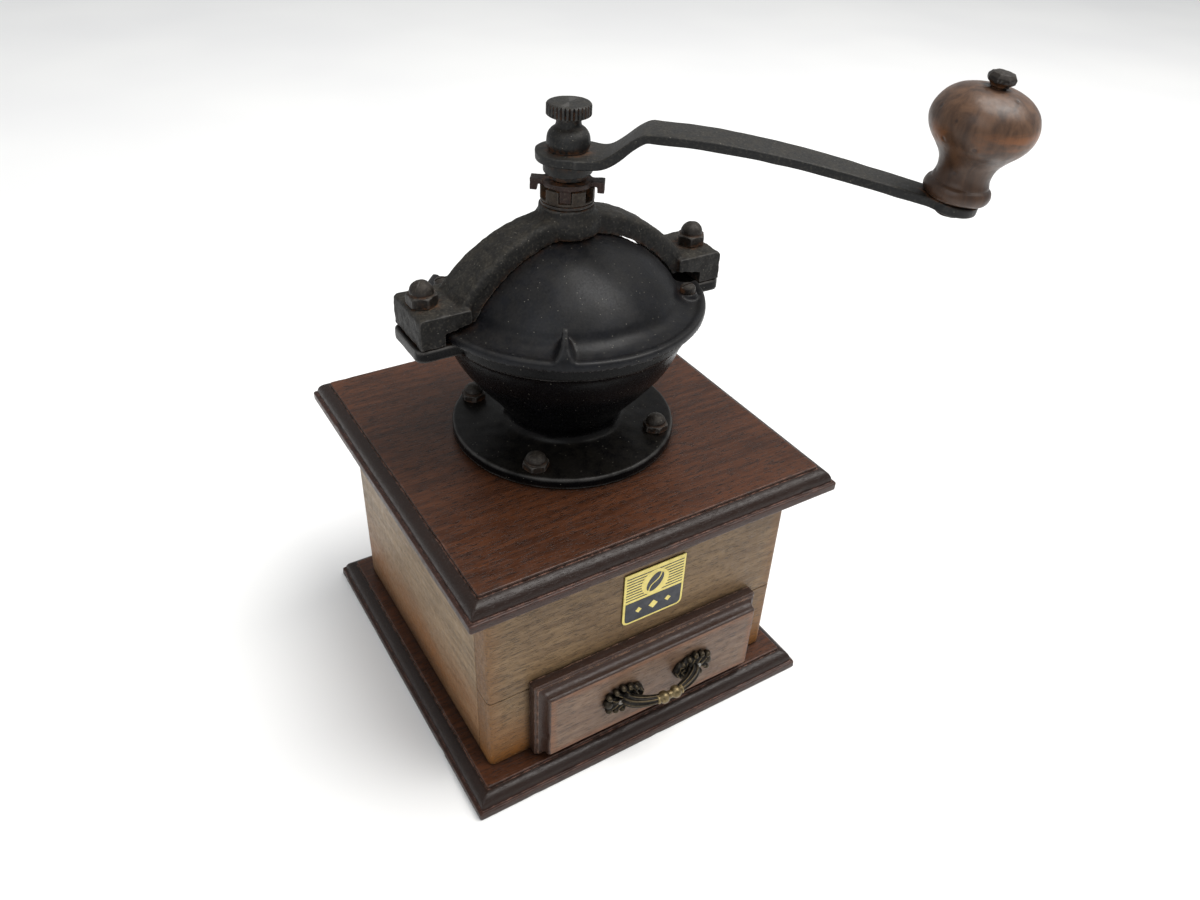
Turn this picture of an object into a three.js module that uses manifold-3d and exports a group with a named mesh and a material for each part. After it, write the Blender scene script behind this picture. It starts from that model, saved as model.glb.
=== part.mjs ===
// Hand-cranked dome coffee mill: a wooden box with a drawer, a cast-iron hopper with a turning
// half-dome lid, a bridge that carries the spindle, conical burrs and a crank with a wooden knob.
// Units are millimetres, +Z is up, the drawer faces -Y, and the spindle runs up the Z axis.
import * as THREE from 'three';
import Module from 'manifold-3d';
import { mergeVertices } from 'three/addons/utils/BufferGeometryUtils.js';

const wasm = await Module();
wasm.setup();

// ---- Driving dimensions -------------------------------------------------------------------
const CLEARANCE = 0.3; // between pieces that touch in the real mill
const RUNNING = 0.08; // radial play of a shaft in its bearing

// Wooden case
const BOARD_SIDE = 160;
const BOARD_THICK = 10;
const LIP_HEIGHT = 3.6;
const OVOLO_RADIUS = 4.6;
const MOULDING_INSET = 6;
const CASE_WIDTH = 137;
const CASE_DEPTH = 132;
const CASE_HEIGHT = 95;
const PANEL_THICK = 10;
const CORNER_ROUND = 2.5;

// Drawer
const DRAWER_BAY_WIDTH = 100;
const DRAWER_BAY_TOP = 47.2;
const DRAWER_PLAY = 0.8;
const DRAWER_FRONT_WIDTH = 107;
const DRAWER_FRONT_X = 2.4;
const DRAWER_FRONT_BASE = 10.8;
const DRAWER_FRONT_TOP = 51.3;
const DRAWER_FRONT_THICK = 9.7;
const DRAWER_WALL = 6;
const DRAWER_LENGTH = 116;
const DRAWER_TOP = 44;
const PULL_X = 3;
const PULL_Z = 32;
const PULL_SPAN = 38;
const PULL_REACH = 9;
const PULL_ROD = 2.3;

// Badge on the front rail
const BADGE_WIDTH = 28.6;
const BADGE_HEIGHT = 27;
const BADGE_THICK = 0.5;
const BADGE_X = 4.3;
const BADGE_BASE = 60.5;

// Hopper
const FLANGE_RADIUS = 45;
const FLANGE_THICK = 4.5;
const FLANGE_BOLT_CIRCLE = 38.5;
const COLLAR_RADIUS = 26;
const COLLAR_BORE = 22;
const COLLAR_DROP = 7;
const THROAT_RADIUS = 18.6;
const NECK_RADIUS = 22.4;
const RIM_RADIUS = 52.5;
const RIM_Z = 171.3;
const REBATE_RADIUS = 48.2;
const REBATE_Z = 168.2;
const EAR_REACH = 64.5;
const EAR_THICK = 4.5;

// Lid and rear dome, both caps of spheres about one centre
const DOME_CENTRE_Z = 149;
const DOME_RADIUS = 51;
const DOME_WALL = 2.3;
const DOME_HOLE = 9;
const LID_FLANGE_RADIUS = 53;
const LID_AZIMUTH = -120;
const LID_HALF_SPAN = 104;
const LID_SCREW_ANGLE = 89;
const LID_SCREW_RADIUS = 46;
const REAR_DOME_FROM = -18;
const REAR_DOME_TO = 162;

// Bridge
const BRIDGE_INNER = 52;
const BRIDGE_OUTER = 58;
const LEG_WIDTH = 17;
const FOOT_WIDTH = 24;
const FOOT_END = 63.2;
const FOOT_INNER = 43.6;
const FOOT_NOTCH = 53.9;
const FOOT_NOTCH_Z = 178.7;
const FOOT_TOP = 183.2;
const BRIDGE_BOLT_X = 57;
const BOSS_TOP = 210;
const BOSS_BASE = 199.6;
const BOSS_RADIUS = 10.1;

// Spindle and burrs
const SPINDLE_RADIUS = 5;
const STUD_RADIUS = 3.2;
const BURR_BASE = 101;
const BURR_TOP = 124;
const BURR_BASE_RADIUS = 15.4;
const BURR_TOP_RADIUS = 8.4;
const BURR_TEETH = 12;
const BURR_GAP = 1.6;
const RING_BASE = 98.6;
const RING_TOP = 118;

// Crank and knob
const CRANK_AZIMUTH = -43;
const CRANK_LENGTH = 128.6;
const CRANK_SLOPE = 7.4;
const CRANK_WIDTH = 17;
const CRANK_TIP_WIDTH = 12;
const CRANK_BEND = 30;
const CRANK_BOW = 3.6;
const CRANK_THICK = 3.2;
const HUB_RADIUS = 11.5;
const HUB_BASE = 225.6;
const EYE_RADIUS = 8.6;
const KNOB_HEIGHT = 36;
const KNOB_RADIUS = 16.9;
const KNOB_AXLE = 2.4;

// Heights that follow from the ones above
const CASE_TOP = BOARD_THICK + CASE_HEIGHT;
const DECK_Z = CASE_TOP + BOARD_THICK;
const FRONT_Y = -CASE_DEPTH / 2;
const FLANGE_TOP = DECK_Z + CLEARANCE + FLANGE_THICK;
const FOOT_BASE = RIM_Z + CLEARANCE;
const EYE_TOP_Z = 226.4;
const HUB_TOP = HUB_BASE + CRANK_THICK;

const COARSE = 24;
const FINE = 36;
const degrees = THREE.MathUtils.degToRad;

// ---- Colours ------------------------------------------------------------------------------
const FINISHES = {
  mahogany: { color: 0x5a2f22, roughness: 0.5, metalness: 0 },
  walnut: { color: 0x7d5f48, roughness: 0.55, metalness: 0 },
  beech: { color: 0xb08a5e, roughness: 0.7, metalness: 0 },
  knobWood: { color: 0x5b3320, roughness: 0.4, metalness: 0 },
  castIron: { color: 0x26282b, roughness: 0.6, metalness: 0.7 },
  forgedSteel: { color: 0x2e2d2b, roughness: 0.5, metalness: 0.8 },
  bareSteel: { color: 0x8a8a88, roughness: 0.4, metalness: 0.9 },
  agedBrass: { color: 0x6b5a35, roughness: 0.45, metalness: 0.9 },
  badgeGold: { color: 0xc7b15c, roughness: 0.4, metalness: 0.6 },
};

// ---- Solid modelling helpers --------------------------------------------------------------
function toSolid(geometry) {
  const bare = geometry.clone();
  bare.deleteAttribute('normal');
  bare.deleteAttribute('uv');
  const welded = mergeVertices(bare, 1e-4);
  const vertProperties = new Float32Array(welded.attributes.position.array);
  const triVerts = new Uint32Array(welded.index.array);
  return new wasm.Manifold(new wasm.Mesh({ numProp: 3, vertProperties, triVerts }));
}

function toGeometry(solid) {
  const { vertProperties, triVerts } = solid.getMesh();
  const geometry = new THREE.BufferGeometry();
  geometry.setAttribute('position', new THREE.BufferAttribute(vertProperties, 3));
  geometry.setIndex(new THREE.BufferAttribute(triVerts, 1));
  geometry.computeVertexNormals();
  return geometry;
}

// A turned piece about Z; the profile is a list of [radius, z], upwards along the outside.
function turned(profile, segments = FINE) {
  const points = profile.map(([radius, z]) => new THREE.Vector2(radius, z));
  return new THREE.LatheGeometry(points, segments).rotateX(Math.PI / 2);
}

// A turned piece with a hole: the profile closes on itself.
function turnedRing(profile, segments = FINE) {
  return turned([...profile, profile[0]], segments);
}

function cylinder(radius, base, top, segments = COARSE) {
  return turned([[0, base], [radius, base], [radius, top], [0, top]], segments);
}

function tube(bore, radius, base, top, segments = COARSE) {
  return turnedRing([[bore, base], [radius, base], [radius, top], [bore, top]], segments);
}

// A hexagonal prism of the given corner radius.
function hexagon(radius, base, top) {
  return cylinder(radius, base, top, 6);
}

// A box from its low and high corners.
function block(low, high) {
  const size = high.map((value, axis) => value - low[axis]);
  const centre = high.map((value, axis) => (value + low[axis]) / 2);
  return new THREE.BoxGeometry(...size).translate(...centre);
}

// A plan outline raised between two heights.
function prism(shape, base, top, curveSegments = 8) {
  const options = { depth: top - base, bevelEnabled: false, curveSegments };
  return new THREE.ExtrudeGeometry(shape, options).translate(0, 0, base);
}

// An outline drawn in X and Z, as thick as `width` and centred on Y = 0.
function upright(shape, width, curveSegments = 8) {
  const geometry = prism(shape, -width / 2, width / 2, curveSegments);
  return geometry.rotateX(Math.PI / 2);
}

function outline(points) {
  return new THREE.Shape(points.map(([x, y]) => new THREE.Vector2(x, y)));
}

// A rectangle with the corner radii [low-left, low-right, high-right, high-left].
function roundedRectangle(x0, y0, x1, y1, radii) {
  const [lowLeft, lowRight, highRight, highLeft] = radii;
  const shape = new THREE.Shape();
  const corner = (x, y, radius, from) => {
    if (radius > 0) shape.absarc(x, y, radius, degrees(from), degrees(from + 90));
    else shape.lineTo(x, y);
  };
  shape.moveTo(x0 + lowLeft, y0);
  corner(x1 - lowRight, y0 + lowRight, lowRight, -90);
  corner(x1 - highRight, y1 - highRight, highRight, 0);
  corner(x0 + highLeft, y1 - highLeft, highLeft, 90);
  corner(x0 + lowLeft, y0 + lowLeft, lowLeft, 180);
  return shape;
}

// A rectangular board with a mitred moulding: each [inset, height] is one step of its edge.
function mouldedBoard(width, depth, edge) {
  const corners = [[-1, -1], [1, -1], [1, 1], [-1, 1]];
  const positions = [];
  const index = [];
  for (const [inset, height] of edge) {
    for (const [sx, sy] of corners) {
      positions.push(sx * (width / 2 - inset), sy * (depth / 2 - inset), height);
    }
  }
  for (let ring = 0; ring < edge.length - 1; ring += 1) {
    for (let side = 0; side < 4; side += 1) {
      const a = ring * 4 + side;
      const b = ring * 4 + ((side + 1) % 4);
      index.push(a, b, b + 4, a, b + 4, a + 4);
    }
  }
  const last = (edge.length - 1) * 4;
  index.push(0, 2, 1, 0, 3, 2);
  index.push(last, last + 1, last + 2, last, last + 2, last + 3);
  const geometry = new THREE.BufferGeometry();
  geometry.setAttribute('position', new THREE.Float32BufferAttribute(positions, 3));
  geometry.setIndex(index);
  return geometry;
}

// Square lip, quirk, quarter-round and a small step, from the underside up.
function boardEdge(base) {
  const quirk = 1.4;
  const roundSteps = 5;
  const edge = [[0, base], [0, base + LIP_HEIGHT], [quirk, base + LIP_HEIGHT + 0.4]];
  for (let step = 1; step <= roundSteps; step += 1) {
    const turn = degrees((90 * step) / roundSteps);
    const inset = quirk + OVOLO_RADIUS * (1 - Math.cos(turn));
    edge.push([inset, base + LIP_HEIGHT + 0.4 + OVOLO_RADIUS * Math.sin(turn)]);
  }
  edge.push([MOULDING_INSET + 0.05, base + BOARD_THICK]);
  return edge;
}

// Points along a circular arc in a profile, angles in degrees from the horizontal.
function arcPoints(centreZ, radius, from, to, steps) {
  const points = [];
  for (let step = 0; step <= steps; step += 1) {
    const angle = degrees(from + ((to - from) * step) / steps);
    points.push([radius * Math.cos(angle), centreZ + radius * Math.sin(angle)]);
  }
  return points;
}

// The upright sector of space between two azimuths.
function sector(from, to, reach, base, top) {
  const shape = new THREE.Shape();
  shape.moveTo(0, 0);
  shape.absarc(0, 0, reach, degrees(from), degrees(to));
  shape.lineTo(0, 0);
  return prism(shape, base, top, 16);
}

// A cone with slanted saw teeth around it, one ring of points for each [radius, z].
function flutedCone(profile, depth, twist) {
  const perTooth = 3;
  const count = BURR_TEETH * perTooth;
  const positions = [];
  const index = [];
  profile.forEach(([radius, z], ring) => {
    for (let k = 0; k < count; k += 1) {
      const tooth = radius - depth * ((k % perTooth) / (perTooth - 1));
      const angle = (2 * Math.PI * k) / count + degrees(twist * ring);
      positions.push(tooth * Math.cos(angle), tooth * Math.sin(angle), z);
    }
  });
  const rings = profile.length;
  for (let ring = 0; ring < rings - 1; ring += 1) {
    for (let k = 0; k < count; k += 1) {
      const a = ring * count + k;
      const b = ring * count + ((k + 1) % count);
      index.push(a, b, b + count, a, b + count, a + count);
    }
  }
  positions.push(0, 0, profile[0][1], 0, 0, profile[rings - 1][1]);
  const bottom = rings * count;
  const last = (rings - 1) * count;
  for (let k = 0; k < count; k += 1) {
    const next = (k + 1) % count;
    index.push(bottom, next, k, bottom + 1, last + k, last + next);
  }
  const geometry = new THREE.BufferGeometry();
  geometry.setAttribute('position', new THREE.Float32BufferAttribute(positions, 3));
  geometry.setIndex(index);
  return geometry;
}

function join(...geometries) {
  return geometries.map(toSolid).reduce((sum, solid) => sum.add(solid));
}

function cut(solid, ...geometries) {
  return geometries.map(toSolid).reduce((rest, tool) => rest.subtract(tool), solid);
}

function atAzimuth(geometry, azimuth, radius = 0) {
  return geometry.translate(radius, 0, 0).rotateZ(degrees(azimuth));
}

// ---- Scene assembly -----------------------------------------------------------------------
const mill = new THREE.Group();
mill.name = 'coffee_mill';

function place(name, shape, finish) {
  const solid = shape.isBufferGeometry ? toSolid(shape) : shape;
  const mesh = new THREE.Mesh(toGeometry(solid), new THREE.MeshStandardMaterial(FINISHES[finish]));
  mesh.name = name;
  mill.add(mesh);
}

// ---- Wooden case --------------------------------------------------------------------------
const CASE_SCREW_X = (CASE_WIDTH - PANEL_THICK) / 2;
const CASE_SCREW_Y = 42;
const CASE_SCREW_SHANK = 1.9;
const CASE_SCREW_HEAD = 3.8;
const CASE_SCREW_TIP = 28;
const FLANGE_BOLT_RADIUS = 1.9;
const FLANGE_BOLT_AZIMUTHS = [-135, -45, 45, 135];

function caseScrewSpots() {
  const spots = [];
  for (const sx of [-1, 1]) {
    for (const sy of [-1, 1]) spots.push([sx * CASE_SCREW_X, sy * CASE_SCREW_Y]);
  }
  return spots;
}

function countersunkScrew(grow) {
  const shank = CASE_SCREW_SHANK + grow;
  const head = CASE_SCREW_HEAD + grow;
  const sink = 0.6;
  const profile = [[0, sink - 2 * grow], [head, sink - 2 * grow], [head, sink + 0.6]];
  profile.push([shank, 3.2], [shank, CASE_SCREW_TIP], [0, CASE_SCREW_TIP + grow]);
  return turned(profile, 16);
}

function addBaseBoard() {
  const board = toSolid(mouldedBoard(BOARD_SIDE, BOARD_SIDE, boardEdge(0)));
  const holes = caseScrewSpots().map(([x, y]) => countersunkScrew(CLEARANCE).translate(x, y, 0));
  place('base_board', cut(board, ...holes), 'mahogany');
}

function addTopBoard() {
  const board = toSolid(mouldedBoard(BOARD_SIDE, BOARD_SIDE, boardEdge(CASE_TOP)));
  const bolt = FLANGE_BOLT_RADIUS + CLEARANCE;
  const holes = FLANGE_BOLT_AZIMUTHS.map((azimuth) =>
    atAzimuth(cylinder(bolt, CASE_TOP - 1, DECK_Z + 1, 16), azimuth, FLANGE_BOLT_CIRCLE));
  const chute = cylinder(COLLAR_RADIUS + CLEARANCE, CASE_TOP - 1, DECK_Z + 1, FINE);
  place('top_board', cut(board, chute, ...holes), 'mahogany');
}

function addCasePanels() {
  const base = BOARD_THICK + CLEARANCE;
  const top = CASE_TOP - CLEARANCE;
  const halfWidth = CASE_WIDTH / 2;
  const back = CASE_DEPTH / 2;
  const innerFront = FRONT_Y + PANEL_THICK + CLEARANCE;
  const holes = caseScrewSpots().map(([x, y]) => countersunkScrew(CLEARANCE).translate(x, y, 0));
  const left = roundedRectangle(-halfWidth, innerFront, -halfWidth + PANEL_THICK, back,
    [0, 0, 0, CORNER_ROUND]);
  const right = roundedRectangle(halfWidth - PANEL_THICK, innerFront, halfWidth, back,
    [0, 0, CORNER_ROUND, 0]);
  place('side_panel_left', cut(join(prism(left, base, top, 4)), ...holes), 'walnut');
  place('side_panel_right', cut(join(prism(right, base, top, 4)), ...holes), 'walnut');
  const inner = halfWidth - PANEL_THICK - CLEARANCE;
  place('back_panel', block([-inner, back - PANEL_THICK, base], [inner, back, top]), 'walnut');
}

function addCaseFront() {
  const base = BOARD_THICK + CLEARANCE;
  const halfWidth = CASE_WIDTH / 2;
  const inner = FRONT_Y + PANEL_THICK;
  const bay = DRAWER_BAY_WIDTH / 2;
  const round = CORNER_ROUND;
  const rail = roundedRectangle(-halfWidth, FRONT_Y, halfWidth, inner, [round, round, 0, 0]);
  place('front_rail', prism(rail, DRAWER_BAY_TOP, CASE_TOP - CLEARANCE, 4), 'walnut');
  const left = roundedRectangle(-halfWidth, FRONT_Y, -bay, inner, [round, 0, 0, 0]);
  const right = roundedRectangle(bay, FRONT_Y, halfWidth, inner, [0, round, 0, 0]);
  place('front_stile_left', prism(left, base, DRAWER_BAY_TOP - CLEARANCE, 4), 'walnut');
  place('front_stile_right', prism(right, base, DRAWER_BAY_TOP - CLEARANCE, 4), 'walnut');
}

function addDrawerGuides() {
  const inner = DRAWER_BAY_WIDTH / 2 + CLEARANCE;
  const outer = CASE_WIDTH / 2 - PANEL_THICK - CLEARANCE;
  const ends = CASE_DEPTH / 2 - PANEL_THICK - CLEARANCE;
  const base = BOARD_THICK + CLEARANCE;
  for (const [side, sign] of [['left', -1], ['right', 1]]) {
    const low = [Math.min(sign * inner, sign * outer), -ends, base];
    const high = [Math.max(sign * inner, sign * outer), ends, DRAWER_BAY_TOP - CLEARANCE];
    place(`drawer_guide_${side}`, block(low, high), 'beech');
  }
}

function addCaseScrews() {
  caseScrewSpots().forEach(([x, y], index) => {
    const slot = block([-CASE_SCREW_HEAD - 1, -0.5, 0], [CASE_SCREW_HEAD + 1, 0.5, 1.3]);
    const screw = cut(toSolid(countersunkScrew(0)), slot).translate([x, y, 0]);
    place(`case_screw_${index + 1}`, screw, 'bareSteel');
  });
}

function addBadge() {
  const x0 = BADGE_X - BADGE_WIDTH / 2;
  const shape = roundedRectangle(x0, BADGE_BASE, x0 + BADGE_WIDTH, BADGE_BASE + BADGE_HEIGHT,
    [3, 3, 0, 0]);
  const plate = upright(shape, BADGE_THICK, 5);
  place('badge_plate', plate.translate(0, FRONT_Y - CLEARANCE - BADGE_THICK / 2, 0), 'badgeGold');
}

// ---- Drawer -------------------------------------------------------------------------------
const DRAWER_BACK_Y = FRONT_Y - CLEARANCE;
const PULL_SCREW_RADIUS = 1.5;
const DRAWER_FACE_Y = DRAWER_BACK_Y - DRAWER_FRONT_THICK;

function pullScrewX() {
  return [-1, 1].map((sign) => PULL_X + (sign * PULL_SPAN) / 2);
}

function alongY(geometry, x, z) {
  return geometry.rotateX(Math.PI / 2).translate(x, 0, z);
}

function addDrawerFront() {
  const height = DRAWER_FRONT_TOP - DRAWER_FRONT_BASE;
  const centreZ = (DRAWER_FRONT_TOP + DRAWER_FRONT_BASE) / 2;
  const plain = 3.8;
  const cove = DRAWER_FRONT_THICK - plain - 0.8;
  const edge = [[0, 0], [0, plain], [0.8, plain + 0.3]];
  for (let step = 1; step <= 4; step += 1) {
    const turn = degrees(90 * (step / 4));
    edge.push([0.8 + 3 * (1 - Math.cos(turn)), plain + 0.3 + cove * Math.sin(turn)]);
  }
  edge.push([4.2, DRAWER_FRONT_THICK]);
  const board = mouldedBoard(DRAWER_FRONT_WIDTH, height, edge).rotateX(Math.PI / 2);
  const front = toSolid(board.translate(DRAWER_FRONT_X, DRAWER_BACK_Y, centreZ));
  const holes = pullScrewX().map((x) =>
    alongY(cylinder(PULL_SCREW_RADIUS + CLEARANCE, -90, 90, 16), x, PULL_Z));
  place('drawer_front', cut(front, ...holes), 'walnut');
}

function addDrawerBox() {
  const outer = DRAWER_BAY_WIDTH / 2 - DRAWER_PLAY;
  const inner = outer - DRAWER_WALL;
  const base = BOARD_THICK + 0.5;
  const front = DRAWER_BACK_Y + CLEARANCE;
  const back = front + DRAWER_LENGTH;
  const floorThick = 3;
  const floorBase = 13;
  place('drawer_side_left', block([-outer, front, base], [-inner, back, DRAWER_TOP]), 'beech');
  place('drawer_side_right', block([inner, front, base], [outer, back, DRAWER_TOP]), 'beech');
  const within = inner - CLEARANCE;
  const backFace = back - DRAWER_WALL;
  place('drawer_back', block([-within, backFace, base], [within, back, DRAWER_TOP]), 'beech');
  place('drawer_bottom',
    block([-within, front, floorBase], [within, backFace - CLEARANCE, floorBase + floorThick]),
    'beech');
}

class BowCurve extends THREE.Curve {
  getPoint(t, target = new THREE.Vector3()) {
    const x = PULL_X + (t - 0.5) * PULL_SPAN;
    const rise = Math.sin(Math.PI * t);
    const reach = 1.6 + (PULL_REACH - 1.6) * Math.sqrt(Math.max(rise, 0));
    return target.set(x, DRAWER_FACE_Y - CLEARANCE - reach, PULL_Z);
  }
}

function rodOutline(radius, sides) {
  const points = [];
  for (let k = 0; k < sides; k += 1) {
    const angle = (2 * Math.PI * k) / sides;
    points.push([radius * Math.cos(angle), radius * Math.sin(angle)]);
  }
  return outline(points);
}

// A cast leaf: a row of three flat domes that taper away from the bow.
function pullLeaf(sign) {
  const lobes = [[0, 4.4, 6.2], [4, 4.2, 5.2], [7.2, 2.6, 3.4]];
  return lobes.map(([along, halfLength, halfHeight]) => {
    const lobe = new THREE.SphereGeometry(1, 10, 6).scale(halfLength, 2.4, halfHeight);
    return lobe.translate(PULL_X + sign * (PULL_SPAN / 2 + along), DRAWER_FACE_Y, PULL_Z);
  });
}

function addDrawerPull() {
  const options = { steps: 12, bevelEnabled: false, extrudePath: new BowCurve() };
  const bow = new THREE.ExtrudeGeometry(rodOutline(PULL_ROD, 8), options);
  const beads = [-1, 1].map((sign) =>
    new THREE.SphereGeometry(3.1, 10, 6)
      .translate(PULL_X + sign * 3.2, DRAWER_FACE_Y - CLEARANCE - PULL_REACH, PULL_Z));
  const cast = join(bow, ...beads, ...pullLeaf(-1), ...pullLeaf(1));
  const behind = block([-90, DRAWER_FACE_Y - CLEARANCE, -90], [90, 90, 90]);
  const holeReach = -DRAWER_FACE_Y + 3.4;
  const holes = pullScrewX().map((x) =>
    alongY(cylinder(PULL_SCREW_RADIUS + CLEARANCE, 0, holeReach, 16), x, PULL_Z));
  place('drawer_pull', cut(cast, behind, ...holes), 'agedBrass');
}

function addPullScrews() {
  const headBase = -DRAWER_BACK_Y - CLEARANCE;
  const tip = -DRAWER_FACE_Y + 3;
  const profile = [[0, headBase - 2.2], [2.2, headBase - 2], [3.2, headBase - 0.8], [3.2, headBase]];
  profile.push([PULL_SCREW_RADIUS, headBase], [PULL_SCREW_RADIUS, tip], [0, tip]);
  const names = ['pull_screw_left', 'pull_screw_right'];
  pullScrewX().forEach((x, index) => {
    place(names[index], alongY(turned(profile, 16), x, PULL_Z), 'bareSteel');
  });
}

// ---- Hopper -------------------------------------------------------------------------------
const FLANGE_NUT_HEX = 2.7;
const BRIDGE_NUT_HEX = 3.9;
const BRIDGE_BOLT_RADIUS = 2.3;
const RING_SCREW_CIRCLE = 24;
const RING_SCREW_RADIUS = 1.2;

function hopperProfile() {
  const collarBase = CASE_TOP - COLLAR_DROP;
  const flangeBase = DECK_Z + CLEARANCE;
  const shoulder = RING_TOP + CLEARANCE;
  return [
    [COLLAR_BORE, collarBase], [COLLAR_RADIUS, collarBase], [COLLAR_RADIUS, flangeBase],
    [FLANGE_RADIUS, flangeBase], [FLANGE_RADIUS, FLANGE_TOP - 0.9],
    [FLANGE_RADIUS - 0.9, FLANGE_TOP], [27, FLANGE_TOP + 0.3], [23.8, FLANGE_TOP + 1.8],
    [NECK_RADIUS, FLANGE_TOP + 4.2], [34.6, 142], [44, 156.6], [50.4, 167], [RIM_RADIUS, 168.6],
    [RIM_RADIUS, RIM_Z], [REBATE_RADIUS, RIM_Z], [REBATE_RADIUS, REBATE_Z], [46, REBATE_Z],
    [40.6, 157.4], [31.4, 143.4], [THROAT_RADIUS, 124.6], [THROAT_RADIUS, shoulder],
    [COLLAR_BORE, shoulder],
  ];
}

function hopperEar(sign) {
  const root = RIM_RADIUS - 2;
  const x0 = sign > 0 ? root : -EAR_REACH;
  const x1 = sign > 0 ? EAR_REACH : -root;
  const radii = sign > 0 ? [0, 3, 3, 0] : [3, 0, 0, 3];
  const shape = roundedRectangle(x0, -FOOT_WIDTH / 2, x1, FOOT_WIDTH / 2, radii);
  return prism(shape, RIM_Z - EAR_THICK, RIM_Z, 4);
}

function addHopper() {
  const boltHole = FLANGE_BOLT_RADIUS + CLEARANCE;
  const holes = FLANGE_BOLT_AZIMUTHS.map((azimuth) =>
    atAzimuth(cylinder(boltHole, DECK_Z, FLANGE_TOP + 1, 16), azimuth, FLANGE_BOLT_CIRCLE));
  for (const sign of [-1, 1]) {
    holes.push(cylinder(BRIDGE_BOLT_RADIUS + CLEARANCE, RIM_Z - 9, RIM_Z + 1, 16)
      .translate(sign * BRIDGE_BOLT_X, 0, 0));
    const ringScrewHole = cylinder(RING_SCREW_RADIUS + CLEARANCE, 90, CASE_TOP + CLEARANCE, 12);
    holes.push(atAzimuth(ringScrewHole, sign * 90, RING_SCREW_CIRCLE));
  }
  const casting = join(turnedRing(hopperProfile()), hopperEar(-1), hopperEar(1));
  place('hopper_bowl', cut(casting, ...holes), 'castIron');
}

// A domed hexagon nut with a blind hole, standing on z = 0.
function acornNut(corner, hexHeight, domeHeight, boltRadius) {
  const domeRadius = corner * 0.78;
  const domeBase = hexHeight + 0.4;
  const dome = [[0, hexHeight - 1], [domeRadius, hexHeight - 1], [domeRadius, domeBase]];
  for (const angle of [30, 60, 90]) {
    const turn = degrees(angle);
    dome.push([domeRadius * Math.cos(turn), domeBase + domeHeight * Math.sin(turn)]);
  }
  const nut = join(hexagon(corner, 0, hexHeight), turned(dome, 12));
  return cut(nut, cylinder(boltRadius + CLEARANCE, -1, hexHeight + 1, 12));
}

function addHopperFasteners() {
  FLANGE_BOLT_AZIMUTHS.forEach((azimuth, index) => {
    const headTop = CASE_TOP - CLEARANCE;
    const tip = FLANGE_TOP + FLANGE_NUT_HEX;
    const profile = [[0, headTop - 2.2], [3.6, headTop - 1.8], [5, headTop - 0.4], [5, headTop]];
    profile.push([FLANGE_BOLT_RADIUS, headTop], [FLANGE_BOLT_RADIUS, tip], [0, tip]);
    const bolt = atAzimuth(turned(profile, 12), azimuth, FLANGE_BOLT_CIRCLE);
    place(`hopper_bolt_${index + 1}`, bolt, 'forgedSteel');
    const seat = FLANGE_TOP + CLEARANCE + 0.2;
    const nut = acornNut(5.2, FLANGE_NUT_HEX, 3.3, FLANGE_BOLT_RADIUS)
      .translate([FLANGE_BOLT_CIRCLE, 0, seat]);
    place(`hopper_nut_${index + 1}`, nut.rotate([0, 0, azimuth]), 'forgedSteel');
  });
}

// ---- Lid and rear dome --------------------------------------------------------------------
const LID_BASE = RIM_Z + CLEARANCE;
const LID_SEAT_Z = 176.4;
const LID_SCREW_SHANK = 1.3;
const LID_SCREW_HEAD = 2.6;

function sphereAngle(radius, reach) {
  return THREE.MathUtils.radToDeg(Math.acos(reach / radius));
}

function sphereAngleAtZ(radius, z) {
  return THREE.MathUtils.radToDeg(Math.asin((z - DOME_CENTRE_Z) / radius));
}

function lidFin() {
  const fin = outline([[41.5, 177], [52, 173.6], [52.6, 175.4], [47, 184], [45, 184.4], [41.5, 181]]);
  return atAzimuth(upright(fin, 3.6), LID_AZIMUTH);
}

function addLid() {
  const inner = DOME_RADIUS - DOME_WALL;
  const topAngle = sphereAngle(DOME_RADIUS, DOME_HOLE);
  const profile = [
    [LID_FLANGE_RADIUS, LID_BASE], [LID_FLANGE_RADIUS, 174], [52, 175], [46.6, LID_SEAT_Z],
    [43.4, 177.8],
    ...arcPoints(DOME_CENTRE_Z, DOME_RADIUS, sphereAngle(DOME_RADIUS, 41), topAngle, 6),
    ...arcPoints(DOME_CENTRE_Z, inner, sphereAngle(inner, DOME_HOLE),
      sphereAngleAtZ(inner, LID_BASE), 6),
  ];
  const from = LID_AZIMUTH - LID_HALF_SPAN;
  const window = toSolid(sector(from, from + 2 * LID_HALF_SPAN, 70, 160, 210));
  const shell = toSolid(turnedRing(profile, FINE)).intersect(window).add(toSolid(lidFin()));
  const holes = [-1, 1].flatMap((sign) => {
    const azimuth = LID_AZIMUTH + sign * LID_SCREW_ANGLE;
    const shank = cylinder(LID_SCREW_SHANK + CLEARANCE, LID_BASE - 1, 190, 12);
    const spotface = cylinder(LID_SCREW_HEAD + CLEARANCE, LID_SEAT_Z, 190, 20);
    return [shank, spotface].map((tool) => atAzimuth(tool, azimuth, LID_SCREW_RADIUS));
  });
  place('lid_dome', cut(shell, ...holes), 'castIron');
}

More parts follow.
